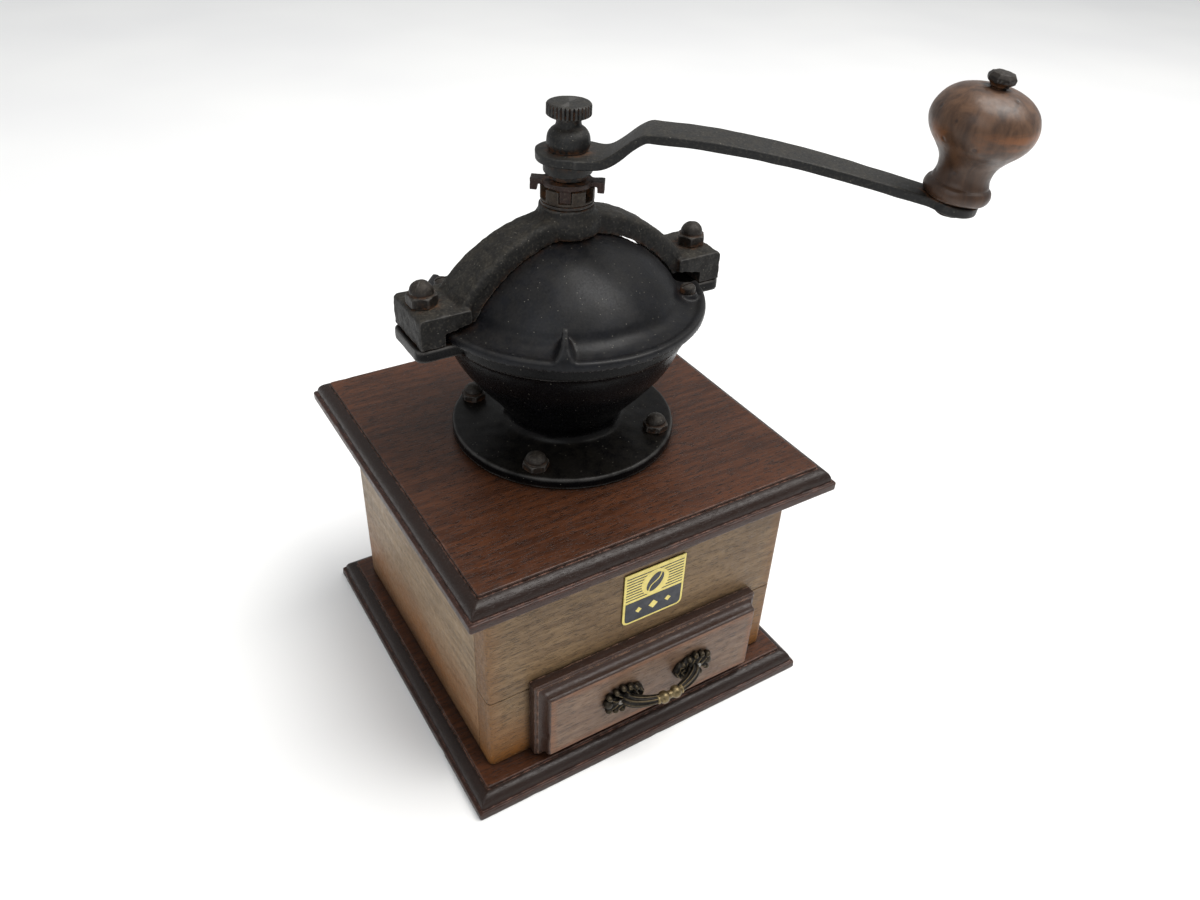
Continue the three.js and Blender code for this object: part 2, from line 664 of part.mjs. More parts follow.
function addLidScrews() {
  for (const [side, sign] of [['left', -1], ['right', 1]]) {
    const seat = LID_SEAT_Z + CLEARANCE;
    const head = LID_SCREW_HEAD;
    const profile = [[0, LID_BASE + 0.2], [LID_SCREW_SHANK, LID_BASE + 0.2]];
    profile.push([LID_SCREW_SHANK, seat], [head, seat]);
    profile.push([head, seat + 2], [0.7 * head, seat + 2.8], [0, seat + 3]);
    const slot = block([-4, -0.4, seat + 1.8], [4, 0.4, seat + 4]);
    const screw = cut(toSolid(turned(profile, 16)), slot).translate([LID_SCREW_RADIUS, 0, 0]);
    const azimuth = LID_AZIMUTH + sign * LID_SCREW_ANGLE;
    place(`lid_screw_${side}`, screw.rotate([0, 0, azimuth]), 'forgedSteel');
  }
}

function addRearDome() {
  const outer = DOME_RADIUS - DOME_WALL - 0.4;
  const inner = outer - DOME_WALL;
  const base = REBATE_Z + CLEARANCE;
  const shelf = RIM_Z - 0.2;
  const flange = REBATE_RADIUS - CLEARANCE;
  const profile = [
    [flange, base], [flange, shelf],
    ...arcPoints(DOME_CENTRE_Z, outer, sphereAngleAtZ(outer, shelf),
      sphereAngle(outer, DOME_HOLE), 6),
    ...arcPoints(DOME_CENTRE_Z, inner, sphereAngle(inner, DOME_HOLE),
      sphereAngleAtZ(inner, base), 6),
  ];
  const window = toSolid(sector(REAR_DOME_FROM, REAR_DOME_TO, 70, 160, 210));
  place('rear_dome', toSolid(turnedRing(profile, FINE)).intersect(window), 'castIron');
}

// ---- Bridge -------------------------------------------------------------------------------
const BUSHING_RADIUS = 5.9;

function bridgeArch() {
  const start = Math.asin((FOOT_NOTCH_Z - DOME_CENTRE_Z) / BRIDGE_INNER);
  const shape = new THREE.Shape();
  shape.absarc(0, DOME_CENTRE_Z, BRIDGE_OUTER, start, Math.PI - start);
  shape.absarc(0, DOME_CENTRE_Z, BRIDGE_INNER, Math.PI - start, start, true);
  return upright(shape, LEG_WIDTH, 16);
}

function bridgeFoot(sign) {
  const steps = [
    [FOOT_INNER, FOOT_NOTCH_Z], [FOOT_NOTCH, FOOT_NOTCH_Z], [FOOT_NOTCH, FOOT_BASE],
    [FOOT_END, FOOT_BASE], [FOOT_END, FOOT_TOP - 1], [FOOT_END - 1, FOOT_TOP],
    [FOOT_INNER, FOOT_TOP],
  ];
  const side = sign > 0 ? steps : steps.map(([x, z]) => [-x, z]).reverse();
  return upright(outline(side), FOOT_WIDTH);
}

function addBridge() {
  const boss = turned([
    [0, BOSS_BASE], [11.6, BOSS_BASE], [11.3, 203], [BOSS_RADIUS, 206.5],
    [BOSS_RADIUS, BOSS_TOP - 0.4], [BOSS_RADIUS - 0.4, BOSS_TOP], [0, BOSS_TOP],
  ], FINE);
  const bore = cylinder(BUSHING_RADIUS + CLEARANCE, BOSS_BASE - 9, BOSS_TOP + 1, COARSE);
  const boltHoles = [-1, 1].map((sign) =>
    cylinder(BRIDGE_BOLT_RADIUS + CLEARANCE, 160, 190, 16).translate(sign * BRIDGE_BOLT_X, 0, 0));
  const casting = join(bridgeArch(), bridgeFoot(-1), bridgeFoot(1), boss);
  place('bridge', cut(casting, bore, ...boltHoles), 'castIron');
  const bushing = tube(SPINDLE_RADIUS + RUNNING, BUSHING_RADIUS, BOSS_BASE + 1, BOSS_TOP, FINE);
  place('bridge_bushing', bushing, 'agedBrass');
}

function addBridgeFasteners() {
  for (const [side, sign] of [['left', -1], ['right', 1]]) {
    const headTop = RIM_Z - EAR_THICK - CLEARANCE;
    const shank = cylinder(BRIDGE_BOLT_RADIUS, headTop - 1, FOOT_TOP + BRIDGE_NUT_HEX, 16);
    const bolt = join(hexagon(5, headTop - 3.4, headTop), shank);
    place(`bridge_bolt_${side}`, bolt.translate([sign * BRIDGE_BOLT_X, 0, 0]), 'forgedSteel');
    const nut = acornNut(5.7, BRIDGE_NUT_HEX, 4.2, BRIDGE_BOLT_RADIUS);
    place(`bridge_nut_${side}`,
      nut.translate([sign * BRIDGE_BOLT_X, 0, FOOT_TOP + CLEARANCE]), 'forgedSteel');
  }
}

// ---- Burrs --------------------------------------------------------------------------------
function burrRadius(z) {
  const slope = (BURR_BASE_RADIUS - BURR_TOP_RADIUS) / (BURR_TOP - BURR_BASE);
  return BURR_BASE_RADIUS - slope * (z - BURR_BASE);
}

function ringScrew() {
  const top = CASE_TOP - COLLAR_DROP;
  const headTop = top - CLEARANCE;
  const tip = top + 7;
  return turned([
    [0, headTop - 1.8], [3.1, headTop - 1.8], [3.1, headTop], [RING_SCREW_RADIUS, headTop],
    [RING_SCREW_RADIUS, tip], [0, tip],
  ], 12);
}

function addOuterBurr() {
  const widest = burrRadius(RING_BASE) + BURR_GAP;
  const waist = 110;
  const hollow = flutedCone([
    [widest + 0.3, RING_BASE - 1], [burrRadius(104) + BURR_GAP, 104],
    [burrRadius(waist) + BURR_GAP, waist], [19.2, RING_TOP + 1],
  ], -0.7, 8);
  const ring = cut(toSolid(cylinder(COLLAR_BORE - CLEARANCE, RING_BASE, RING_TOP, FINE)), hollow);
  place('outer_burr_ring', ring, 'bareSteel');
  for (const [index, azimuth] of [-90, 90].entries()) {
    place(`burr_ring_screw_${index + 1}`, atAzimuth(ringScrew(), azimuth, RING_SCREW_CIRCLE),
      'bareSteel');
  }
}

function addInnerBurr() {
  const cone = flutedCone([
    [BURR_BASE_RADIUS, BURR_BASE], [burrRadius(107), 107], [burrRadius(115), 115],
    [BURR_TOP_RADIUS, BURR_TOP],
  ], 0.9, -8);
  const bore = cylinder(SPINDLE_RADIUS + CLEARANCE, BURR_BASE - 1, BURR_TOP + 1, COARSE);
  place('inner_burr', cut(toSolid(cone), bore), 'bareSteel');
}

// ---- Spindle, its spring and the grind setting --------------------------------------------
const SPRING_SEAT_Z = 184;
const STOPPER_AZIMUTH = -35;

function addSpindle() {
  const shoulder = HUB_BASE - 0.4;
  place('spindle_shaft', turned([
    [0, 92.5], [3.6, 92.5], [3.6, BURR_BASE - 1], [SPINDLE_RADIUS, BURR_BASE - 1],
    [SPINDLE_RADIUS, SPRING_SEAT_Z - 3], [7, SPRING_SEAT_Z - 3], [7, SPRING_SEAT_Z],
    [SPINDLE_RADIUS, SPRING_SEAT_Z], [SPINDLE_RADIUS, shoulder], [STUD_RADIUS, shoulder],
    [STUD_RADIUS, 238], [0, 238],
  ]), 'forgedSteel');
  const nut = cut(toSolid(hexagon(8, 94, BURR_BASE - 1.6)), cylinder(3.9, 90, 110, COARSE));
  place('burr_nut', nut, 'forgedSteel');
}

class Helix extends THREE.Curve {
  constructor(radius, base, top, turns) {
    super();
    Object.assign(this, { radius, base, top, turns });
  }

  getPoint(t, target = new THREE.Vector3()) {
    const angle = 2 * Math.PI * this.turns * t;
    const z = this.base + (this.top - this.base) * t;
    return target.set(this.radius * Math.cos(angle), this.radius * Math.sin(angle), z);
  }
}

function addSpring() {
  const wire = 0.8;
  const seatTop = SPRING_SEAT_Z + CLEARANCE + 1.6;
  place('spring_washer', tube(SPINDLE_RADIUS + CLEARANCE, 8, SPRING_SEAT_Z + CLEARANCE, seatTop, 32),
    'forgedSteel');
  const path = new Helix(6.6, seatTop + wire + 0.3, BOSS_BASE - wire - 0.3, 4.5);
  const options = { steps: 48, bevelEnabled: false, extrudePath: path };
  place('burr_spring', new THREE.ExtrudeGeometry(rodOutline(wire, 5), options), 'bareSteel');
}

function addAdjuster() {
  const bore = SPINDLE_RADIUS + CLEARANCE;
  const nutBase = BOSS_TOP + 1.6;
  const nutTop = nutBase + 5;
  const slotFloor = nutBase + 0.6;
  const legWidth = 4;
  place('thrust_washer', tube(bore, 9.6, BOSS_TOP + CLEARANCE, nutBase - CLEARANCE), 'forgedSteel');
  const slots = [];
  for (let slot = 0; slot < 6; slot += 1) {
    const half = legWidth / 2 + CLEARANCE;
    const tool = block([6.6, -half, slotFloor], [12, half, nutTop + 1]);
    slots.push(atAzimuth(tool, STOPPER_AZIMUTH + 90 + 60 * slot));
  }
  const nut = cut(toSolid(tube(bore, 9.7, nutBase, nutTop)), ...slots);
  place('adjusting_nut', nut, 'forgedSteel');

  const plateBase = nutTop + CLEARANCE;
  const plateTop = plateBase + 1.8;
  const pieces = [tube(bore, 9, plateBase, plateTop)];
  for (const turn of [0, 180]) {
    const azimuth = STOPPER_AZIMUTH + turn;
    pieces.push(atAzimuth(block([8, -2.6, plateBase], [13.4, 2.6, plateTop]), azimuth));
    pieces.push(atAzimuth(block([11.6, -2.6, plateBase - 3.6], [13.4, 2.6, plateTop]), azimuth));
    const leg = block([6.9, -legWidth / 2, slotFloor + CLEARANCE], [8.8, legWidth / 2, plateTop]);
    pieces.push(atAzimuth(leg, azimuth + 90));
  }
  place('stopper', join(...pieces), 'forgedSteel');
  const collarTop = HUB_BASE - CLEARANCE;
  const collar = turnedRing([
    [bore, plateTop + 0.5], [6.6, plateTop + 0.5], [6.6, collarTop - 4.1],
    [8.7, collarTop - 4.1], [8.7, collarTop], [bore, collarTop],
  ], COARSE);
  place('hub_collar', collar, 'forgedSteel');
}

// ---- Crank and knob -----------------------------------------------------------------------
// The arm's side: a flat hub, a bend up, and a long slope to the eye with a slight bow.
function crankSide() {
  const fall = Math.tan(degrees(CRANK_SLOPE));
  const bow = (x) => CRANK_BOW * Math.sin((Math.PI * (x - CRANK_BEND)) / (CRANK_LENGTH - CRANK_BEND));
  const slopeTop = (x) => EYE_TOP_Z + fall * (CRANK_LENGTH - x);
  const end = CRANK_LENGTH + EYE_RADIUS + 2;
  const slopeStart = CRANK_BEND + 4;
  const slopeEnd = CRANK_LENGTH - EYE_RADIUS;
  const step = 12;
  const rise = [[12, 0.1], [16, 1.2], [20, 3.7], [24.5, 7.2], [28.5, 9.6]];
  const upper = [[-13, HUB_TOP], [6, HUB_TOP], ...rise.map(([x, up]) => [x, HUB_TOP + up])];
  for (let x = slopeStart; x < slopeEnd; x += step) upper.push([x, slopeTop(x) + bow(x)]);
  upper.push([slopeEnd, slopeTop(slopeEnd)], [end, slopeTop(end)]);
  const lower = upper.map(([x, z]) => [x, z - CRANK_THICK]);
  return upright(outline([...lower, ...upper.reverse()]), 4 * CRANK_WIDTH);
}

function addCrank() {
  const half = CRANK_WIDTH / 2;
  const tip = CRANK_TIP_WIDTH / 2;
  const arm = outline([[0, -HUB_RADIUS + 0.6], [CRANK_BEND, -half], [CRANK_LENGTH, -tip],
    [CRANK_LENGTH, tip], [CRANK_BEND, half], [0, HUB_RADIUS - 0.6]]);
  const plan = join(
    cylinder(HUB_RADIUS, 200, 260, COARSE),
    prism(arm, 200, 260),
    cylinder(EYE_RADIUS, 200, 260, COARSE).translate(CRANK_LENGTH, 0, 0),
  );
  const forging = plan.intersect(toSolid(crankSide()));
  const hubHole = cylinder(STUD_RADIUS + CLEARANCE, 200, 260, COARSE);
  const axleHole = knobSpace(cylinder(KNOB_AXLE + CLEARANCE, -20, 20, 16), 0);
  place('crank_arm', cut(forging, hubHole, axleHole).rotate([0, 0, CRANK_AZIMUTH]), 'forgedSteel');
}

// Stands a piece on the crank's eye, square to its slope; the knob's axis is local Z.
function knobSpace(geometry, azimuth = CRANK_AZIMUTH) {
  const tilted = geometry.rotateY(degrees(CRANK_SLOPE)).translate(CRANK_LENGTH, 0, EYE_TOP_Z);
  return tilted.rotateZ(degrees(azimuth));
}

function addCapNut() {
  const base = HUB_TOP + CLEARANCE;
  const headBase = 240.4;
  const headTop = 244.9;
  const bulbRadius = 7.6;
  const body = turned([
    [0, base], [7.1, base], [bulbRadius, base + 2.2], [bulbRadius, base + 4], [7.1, base + 5.5],
    [6.1, base + 6.7], [4.6, base + 7.8], [4.4, headBase - 1], [5.2, headBase + 0.6],
    [0, headBase + 0.6],
  ], 24);
  const teeth = 32;
  const knurl = [];
  for (let k = 0; k < 2 * teeth; k += 1) {
    const radius = k % 2 === 0 ? 7.8 : 7.3;
    const angle = (Math.PI * k) / teeth;
    knurl.push([radius * Math.cos(angle), radius * Math.sin(angle)]);
  }
  const head = prism(outline(knurl), headBase, headTop);
  const nut = cut(join(body, head), cylinder(STUD_RADIUS + CLEARANCE, base - 1, 238.5, COARSE));
  place('cap_nut', nut, 'forgedSteel');
}

function addKnob() {
  const bore = KNOB_AXLE + RUNNING;
  const base = 0.5;
  const profile = [
    [bore, base], [9, base], [10.5, 1.8], [10.9, 3.3], [10.5, 5], [9.1, 6.9], [8.8, 9.7],
    [9.7, 13], [12.1, 16.4], [14.8, 19.4], [16.4, 22.3], [KNOB_RADIUS, 25.2], [16.4, 28.3],
    [14.6, 31.4], [11.3, 34], [7, KNOB_HEIGHT - 0.3], [bore, KNOB_HEIGHT],
  ];
  place('knob', knobSpace(turnedRing(profile, 28)), 'knobWood');
}

function addKnobBolt() {
  const headBase = KNOB_HEIGHT + CLEARANCE;
  const under = -CRANK_THICK - CLEARANCE;
  const axle = turned([
    [0, under - 1.8], [4.2, under - 1.4], [4.6, under], [KNOB_AXLE, under],
    [KNOB_AXLE, headBase], [3, headBase], [3, headBase + 1.2], [0, headBase + 1.2],
  ], 28);
  const head = turned([
    [0, headBase + 0.8], [4.2, headBase + 1], [4.4, headBase + 2.6], [3, headBase + 3.8],
    [0, headBase + 4.2],
  ], 8);
  place('knob_bolt', join(knobSpace(axle), knobSpace(head)), 'forgedSteel');
}

addBaseBoard();
addTopBoard();
addCasePanels();
addCaseFront();
addDrawerGuides();
addCaseScrews();
addBadge();
addDrawerFront();
addDrawerBox();
addDrawerPull();
addPullScrews();
addHopper();
addHopperFasteners();
addLid();
addLidScrews();
addRearDome();
addBridge();
addBridgeFasteners();
addOuterBurr();
addInnerBurr();
addSpindle();
addSpring();
addAdjuster();
addCrank();
addCapNut();
addKnob();
addKnobBolt();

export default mill;
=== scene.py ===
# Hand-cranked dome coffee mill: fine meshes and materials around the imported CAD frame.
# Sizes are in millimetres and angles in degrees unless a name says otherwise.
from math import acos, asin, atan2, cos, degrees, exp, pi, radians, sin, sqrt, tan

import bmesh
import bpy
from mathutils import Matrix, Vector, noise


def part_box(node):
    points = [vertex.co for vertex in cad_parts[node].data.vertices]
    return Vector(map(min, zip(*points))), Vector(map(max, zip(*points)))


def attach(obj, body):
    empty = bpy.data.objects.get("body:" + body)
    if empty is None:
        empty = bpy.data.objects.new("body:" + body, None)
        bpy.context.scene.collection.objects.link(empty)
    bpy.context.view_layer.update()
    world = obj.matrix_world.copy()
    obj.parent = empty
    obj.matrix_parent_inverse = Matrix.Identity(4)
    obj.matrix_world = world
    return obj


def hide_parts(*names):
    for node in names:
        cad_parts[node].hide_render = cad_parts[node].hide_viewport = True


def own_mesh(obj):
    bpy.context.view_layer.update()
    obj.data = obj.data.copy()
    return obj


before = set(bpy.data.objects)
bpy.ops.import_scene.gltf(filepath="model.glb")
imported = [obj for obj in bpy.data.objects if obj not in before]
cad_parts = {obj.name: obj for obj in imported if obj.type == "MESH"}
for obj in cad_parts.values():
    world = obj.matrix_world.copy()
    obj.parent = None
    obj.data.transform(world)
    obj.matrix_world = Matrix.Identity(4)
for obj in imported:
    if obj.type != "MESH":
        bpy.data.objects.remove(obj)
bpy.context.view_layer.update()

MM = 0.001
TURN = 2 * pi
AXIS = 0.05  # as near to the axis as the profile of a solid turned piece goes
SLIVER = 0.02  # an edge shorter than this is only left over from a cut


def node_box(name):
    """A CAD node's low corner, high corner and middle, in millimetres."""
    low, high = [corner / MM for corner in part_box(name)]
    return low, high, (low + high) / 2


# ---- Shapes: a shape is (vertices, faces), in millimetres
def skin(rings, loop=False):
    """Quads between rings of equal length; a loop joins the last ring to the first."""
    count = len(rings[0])
    vertices = [Vector(point) for ring in rings for point in ring]
    faces = []
    for ring in range(len(rings) if loop else len(rings) - 1):
        near = ring * count
        far = ((ring + 1) % len(rings)) * count
        for k in range(count):
            step = (k + 1) % count
            faces.append((near + k, near + step, far + step, far + k))
    if not loop:
        faces.append(tuple(reversed(range(count))))
        faces.append(tuple(range(len(vertices) - count, len(vertices))))
    return vertices, faces


def combine(*shapes):
    vertices, faces = [], []
    for some_vertices, some_faces in shapes:
        start = len(vertices)
        vertices += some_vertices
        faces += [tuple(index + start for index in face) for face in some_faces]
    return vertices, faces


def moved(shape, matrix):
    vertices, faces = shape
    return [matrix @ point for point in vertices], faces


def shifted(shape, x, y, z):
    return moved(shape, Matrix.Translation((x, y, z)))


def rotation(angle, axis="Z"):
    return Matrix.Rotation(radians(angle), 4, axis)


def turned_by(shape, angle):
    return moved(shape, rotation(angle))


def standing_at(node, shape):
    """Puts a shape made on the origin where a CAD node stands."""
    low, _, centre = node_box(node)
    return shifted(shape, centre.x, centre.y, low.z)


def polar(radius, angle, z):
    return radius * cos(angle), radius * sin(angle), z


def soften(points, closed=False, steps=4):
    """Rounds the corners of an outline. A point is (x, y) or (x, y, how far the round reaches)."""
    rounded = []
    for index, point in enumerate(points):
        here = Vector(point[:2])
        inside = closed or 0 < index < len(points) - 1
        if len(point) < 3 or not inside:
            rounded.append(here)
            continue
        back = Vector(points[index - 1][:2]) - here
        ahead = Vector(points[(index + 1) % len(points)][:2]) - here
        reach = min(point[2], 0.48 * back.length, 0.48 * ahead.length)
        start = here + back.normalized() * reach
        end = here + ahead.normalized() * reach
        for step in range(steps + 1):
            t = step / steps
            rounded.append(start * (1 - t) ** 2 + here * 2 * t * (1 - t) + end * t ** 2)
    return rounded


def smooth_curve(points, steps):
    """A Catmull-Rom curve through the points."""
    points = [Vector(point) for point in points]
    ends = [2 * points[0] - points[1], *points, 2 * points[-1] - points[-2]]
    curve = []
    for index in range(1, len(ends) - 2):
        a, b, c, d = ends[index - 1:index + 3]
        for step in range(steps):
            t = step / steps
            curve.append(0.5 * (2 * b + (c - a) * t + (2 * a - 5 * b + 4 * c - d) * t ** 2
                                + (3 * b - a - 3 * c + d) * t ** 3))
    return [*curve, points[-1]]


def lathe(profile, count=96, bored=False, limit=None):
    """A turned piece about Z. limit(angle) is the greatest radius there, as flats or knurls cut."""
    rings = []
    for radius, z in profile:
        ring = []
        for k in range(count):
            angle = TURN * k / count
            reach = min(radius, limit(angle)) if limit else radius
            ring.append(polar(reach, angle, z))
        rings.append(ring)
    return skin(rings, loop=bored)


def part_lathe(profile, start, end, count):
    """The closed profile swept from one azimuth to another."""
    rings = []
    for k in range(count + 1):
        angle = radians(start + (end - start) * k / count)
        rings.append([polar(radius, angle, z) for radius, z in profile])
    return skin(rings)


def prism(outline, base, top):
    return skin([[(x, y, z) for x, y in outline] for z in (base, top)])


def upright(outline, y0, y1):
    """An outline in X and Z, thick from y0 to y1."""
    return skin([[(x, y, z) for x, z in outline] for y in (y0, y1)])


def rectangle(x0, y0, x1, y1, radii=(0, 0, 0, 0)):
    """Outline with corner radii [low-left, low-right, high-right, high-left]."""
    corners = zip([(x0, y0), (x1, y0), (x1, y1), (x0, y1)], radii)
    return soften([(x, y, radius) if radius else (x, y) for (x, y), radius in corners], True, 8)


def rod(path, radius, count, flutes=0, depth=0):
    """A tube along a list of points; radius is a number or a function of the share of the way."""
    rings = []
    side = Vector((0, 0, 1))
    for index, point in enumerate(path):
        ahead = Vector(path[min(index + 1, len(path) - 1)]) - Vector(path[max(index - 1, 0)])
        across = ahead.cross(side).normalized()
        up = across.cross(ahead).normalized()
        size = radius(index / (len(path) - 1)) if callable(radius) else radius
        ring = []
        for k in range(count):
            angle = TURN * k / count
            reach = size * (1 + depth * cos(flutes * angle))
            ring.append(Vector(point) + reach * (across * cos(angle) + up * sin(angle)))
        rings.append(ring)
    return skin(rings)


def ball(centre, sizes, count, turn=Matrix.Identity(4)):
    """An ellipsoid with half sizes along X, Y and Z."""
    profile = [(cos(a), sin(a))
               for a in (radians(-88 + 176 * k / (count - 1)) for k in range(count))]
    stretch = Matrix.Diagonal((*sizes, 1))
    return moved(lathe(profile, count), Matrix.Translation(centre) @ turn @ stretch)


# ---- Pieces
def new_object(name, shape):
    vertices, faces = shape
    mesh = bpy.data.meshes.new(name)
    mesh.from_pydata([point * MM for point in vertices], [], faces)
    work = bmesh.new()
    work.from_mesh(mesh)
    bmesh.ops.recalc_face_normals(work, faces=work.faces)
    work.to_mesh(mesh)
    work.free()
    obj = bpy.data.objects.new(name, mesh)
    bpy.context.scene.collection.objects.link(obj)
    return obj


def settle(obj):
    """Turns the object's modifiers into its mesh."""
    graph = bpy.context.evaluated_depsgraph_get()
    mesh = bpy.data.meshes.new_from_object(obj.evaluated_get(graph))
    obj.modifiers.clear()
    obj.data = mesh


def fuse(obj, voxel, rounds):
    """Melts overlapping closed shapes into one skin with small cast fillets."""
    remesh = obj.modifiers.new("fuse", "REMESH")
    remesh.mode = "VOXEL"
    remesh.voxel_size = voxel * MM
    soften_it = obj.modifiers.new("soften", "SMOOTH")
    soften_it.factor = 0.5
    soften_it.iterations = rounds
    settle(obj)


def heal(obj):
    """Takes out the faces of no area that a cut leaves behind."""
    work = bmesh.new()
    work.from_mesh(obj.data)
    bmesh.ops.remove_doubles(work, verts=work.verts, dist=SLIVER * MM)
    bmesh.ops.triangulate(work, faces=[face for face in work.faces if len(face.verts) > 4])
    bmesh.ops.dissolve_degenerate(work, edges=work.edges, dist=SLIVER * MM)
    work.to_mesh(obj.data)
    work.free()


def bore(obj, tool_shape):
    """Cuts one shape out of an object."""
    tool = new_object("bore_tool", tool_shape)
    cut = obj.modifiers.new("bore", "BOOLEAN")
    cut.operation = "DIFFERENCE"
    cut.object = tool
    settle(obj)
    heal(obj)
    bpy.data.objects.remove(tool)


def push_skin(obj, push):
    """Moves each point out along its normal by push(point), in millimetres."""
    points = [vertex.co.copy() for vertex in obj.data.vertices]
    normals = [vertex.normal.copy() for vertex in obj.data.vertices]
    flat = []
    for point, normal in zip(points, normals):
        flat.extend(point + normal * (push(point) * MM))
    obj.data.vertices.foreach_set("co", flat)
    obj.data.update()


def roughen(obj, size, depth, seed=0.0):
    """Lumps of about that size and depth over the whole skin."""
    offset = Vector((seed, seed * 1.7, seed * 0.6))
    push_skin(obj, lambda point: depth * noise.noise(point / (size * MM) + offset))


def bevel(obj, width, segments=3):
    edge = obj.modifiers.new("edge", "BEVEL")
    edge.width = width * MM
    edge.segments = segments
    edge.limit_method = "ANGLE"
    edge.angle_limit = radians(40)


def piece(obj, body, slot, material, nodes=(), sharp=35):
    """Gives an object its body, finish and the CAD nodes that it stands for."""
    obj.data.materials.clear()
    obj.data.materials.append(material)
    obj.data.shade_smooth()
    obj.data.set_sharp_from_angle(angle=radians(sharp))
    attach(obj, body)
    if nodes:
        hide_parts(*nodes)


def plain_piece(name, shape, *settings):
    """A piece whose shape needs no more work."""
    piece(new_object(name, shape), *settings)


def dress(name, material, edge):
    """A CAD node that stays gets a material and broken edges."""
    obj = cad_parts[name]
    for slot in obj.material_slots:
        slot.link = "OBJECT"
        slot.material = material
    bevel(obj, edge, 2)


# ---- Materials
def paint(red, green, blue):
    """A linear colour from 0-255 display values."""
    def linear(value):
        share = value / 255
        return share / 12.92 if share <= 0.04045 else ((share + 0.055) / 1.055) ** 2.4
    return (linear(red), linear(green), linear(blue), 1.0)


def scaled(color, share):
    return tuple(share * part for part in color[:3]) + (1,)


class Graph:
    """Short calls that build the nodes of one material."""

    def __init__(self, name):
        self.material = bpy.data.materials.new(name)
        self.material.use_nodes = True
        self.tree = self.material.node_tree
        self.shader = self.tree.nodes["Principled BSDF"]
        self.place = self.add("TexCoord").outputs["Object"]
        self.surface = self.add("NewGeometry")

    def add(self, kind, inputs=None, **settings):
        made = self.tree.nodes.new("ShaderNode" + kind)
        for key, value in settings.items():
            setattr(made, key, value)
        for key, value in (inputs or {}).items():
            self.feed(made.inputs[key], value)
        return made

    def feed(self, socket, value):
        if isinstance(value, bpy.types.NodeSocket):
            self.tree.links.new(value, socket)
        else:
            socket.default_value = value

    def noise(self, size, stretch=(1, 1, 1), detail=3.0, rough=0.5, warp=0.0, seed=0.0):
        """Noise with features of about that many millimetres, longer where stretch is more."""
        scale = [1 / (size * MM * part) for part in stretch]
        place = self.add("Mapping", {
            "Vector": self.place, "Scale": scale, "Location": (seed, seed * 2.3, seed * 3.1)})
        texture = self.add("TexNoise", {
            "Vector": place.outputs[0], "Scale": 1.0, "Detail": detail, "Roughness": rough,
            "Distortion": warp})
        return texture.outputs["Fac"]

    def spots(self, size, seed):
        """Distance to scattered points, in shares of their spacing."""
        place = self.add("Mapping", {
            "Vector": self.place, "Scale": [1 / (size * MM)] * 3, "Location": (seed, seed, seed)})
        texture = self.add("TexVoronoi", {"Vector": place.outputs[0], "Scale": 1.0})
        return texture.outputs["Distance"]

    def range(self, value, low, high, to_low=0.0, to_high=1.0):
        made = self.add("MapRange", {
            "Value": value, "From Min": low, "From Max": high, "To Min": to_low, "To Max": to_high},
            interpolation_type="SMOOTHSTEP")
        return made.outputs["Result"]

    def math(self, operation, a, b=0.0):
        made = self.add("Math", operation=operation, use_clamp=operation == "ADD")
        self.feed(made.inputs[0], a)
        self.feed(made.inputs[1], b)
        return made.outputs[0]

    def times(self, a, b):
        return self.math("MULTIPLY", a, b)

    def mix(self, share, a, b):
        made = self.add("Mix", data_type="RGBA")
        for key, value in (("Factor", share), ("A", a), ("B", b)):
            self.feed(made.inputs[key], value)
        return made.outputs["Result"]

    def layer(self, share, tone):
        """Lays a colour over the ones below it, as thick as share says."""
        self.color = self.mix(share, self.color, tone)

    def height(self, base, top):
        """0 at one height on the object and 1 at another."""
        split = self.add("SeparateXYZ", {"Vector": self.place})
        return self.range(split.outputs["Z"], base * MM, top * MM)

    def upward(self):
        """1 where the surface faces up and 0 where it is upright."""
        split = self.add("SeparateXYZ", {"Vector": self.surface.outputs["Normal"]})
        return self.range(split.outputs["Z"], 0.1, 0.9)

    def ridge(self, low=0.51, high=0.56):
        """Ridges of a dense mesh, where rubbed wear and painted edge highlights go."""
        return self.range(self.surface.outputs["Pointiness"], low, high)

    def edge(self, radius):
        """Near an edge of any mesh, where a rounded normal leaves the true one."""
        rounded = self.add("Bevel", {"Radius": radius * MM}, samples=4)
        dot = self.add("VectorMath", {0: rounded.outputs[0], 1: self.surface.outputs["Normal"]},
                       operation="DOT_PRODUCT")
        return self.range(dot.outputs["Value"], 0.985, 0.88)

    def crevice(self, distance, low=0.35, high=0.85):
        """1 deep in a corner and 0 in the open."""
        made = self.add("AmbientOcclusion", {"Distance": distance * MM}, samples=6)
        return self.range(made.outputs["AO"], high, low)

    def bump(self, height, depth):
        made = self.add("Bump", {"Height": height, "Distance": depth * MM, "Strength": 1.0})
        return made.outputs["Normal"]

    def finish(self, roughness, normal=None, **shader):
        self.feed(self.shader.inputs["Base Color"], self.color)
        self.feed(self.shader.inputs["Roughness"], roughness)
        if normal is not None:
            self.feed(self.shader.inputs["Normal"], normal)
        for key, value in shader.items():
            self.shader.inputs[key.replace("_", " ")].default_value = value
        return self.material


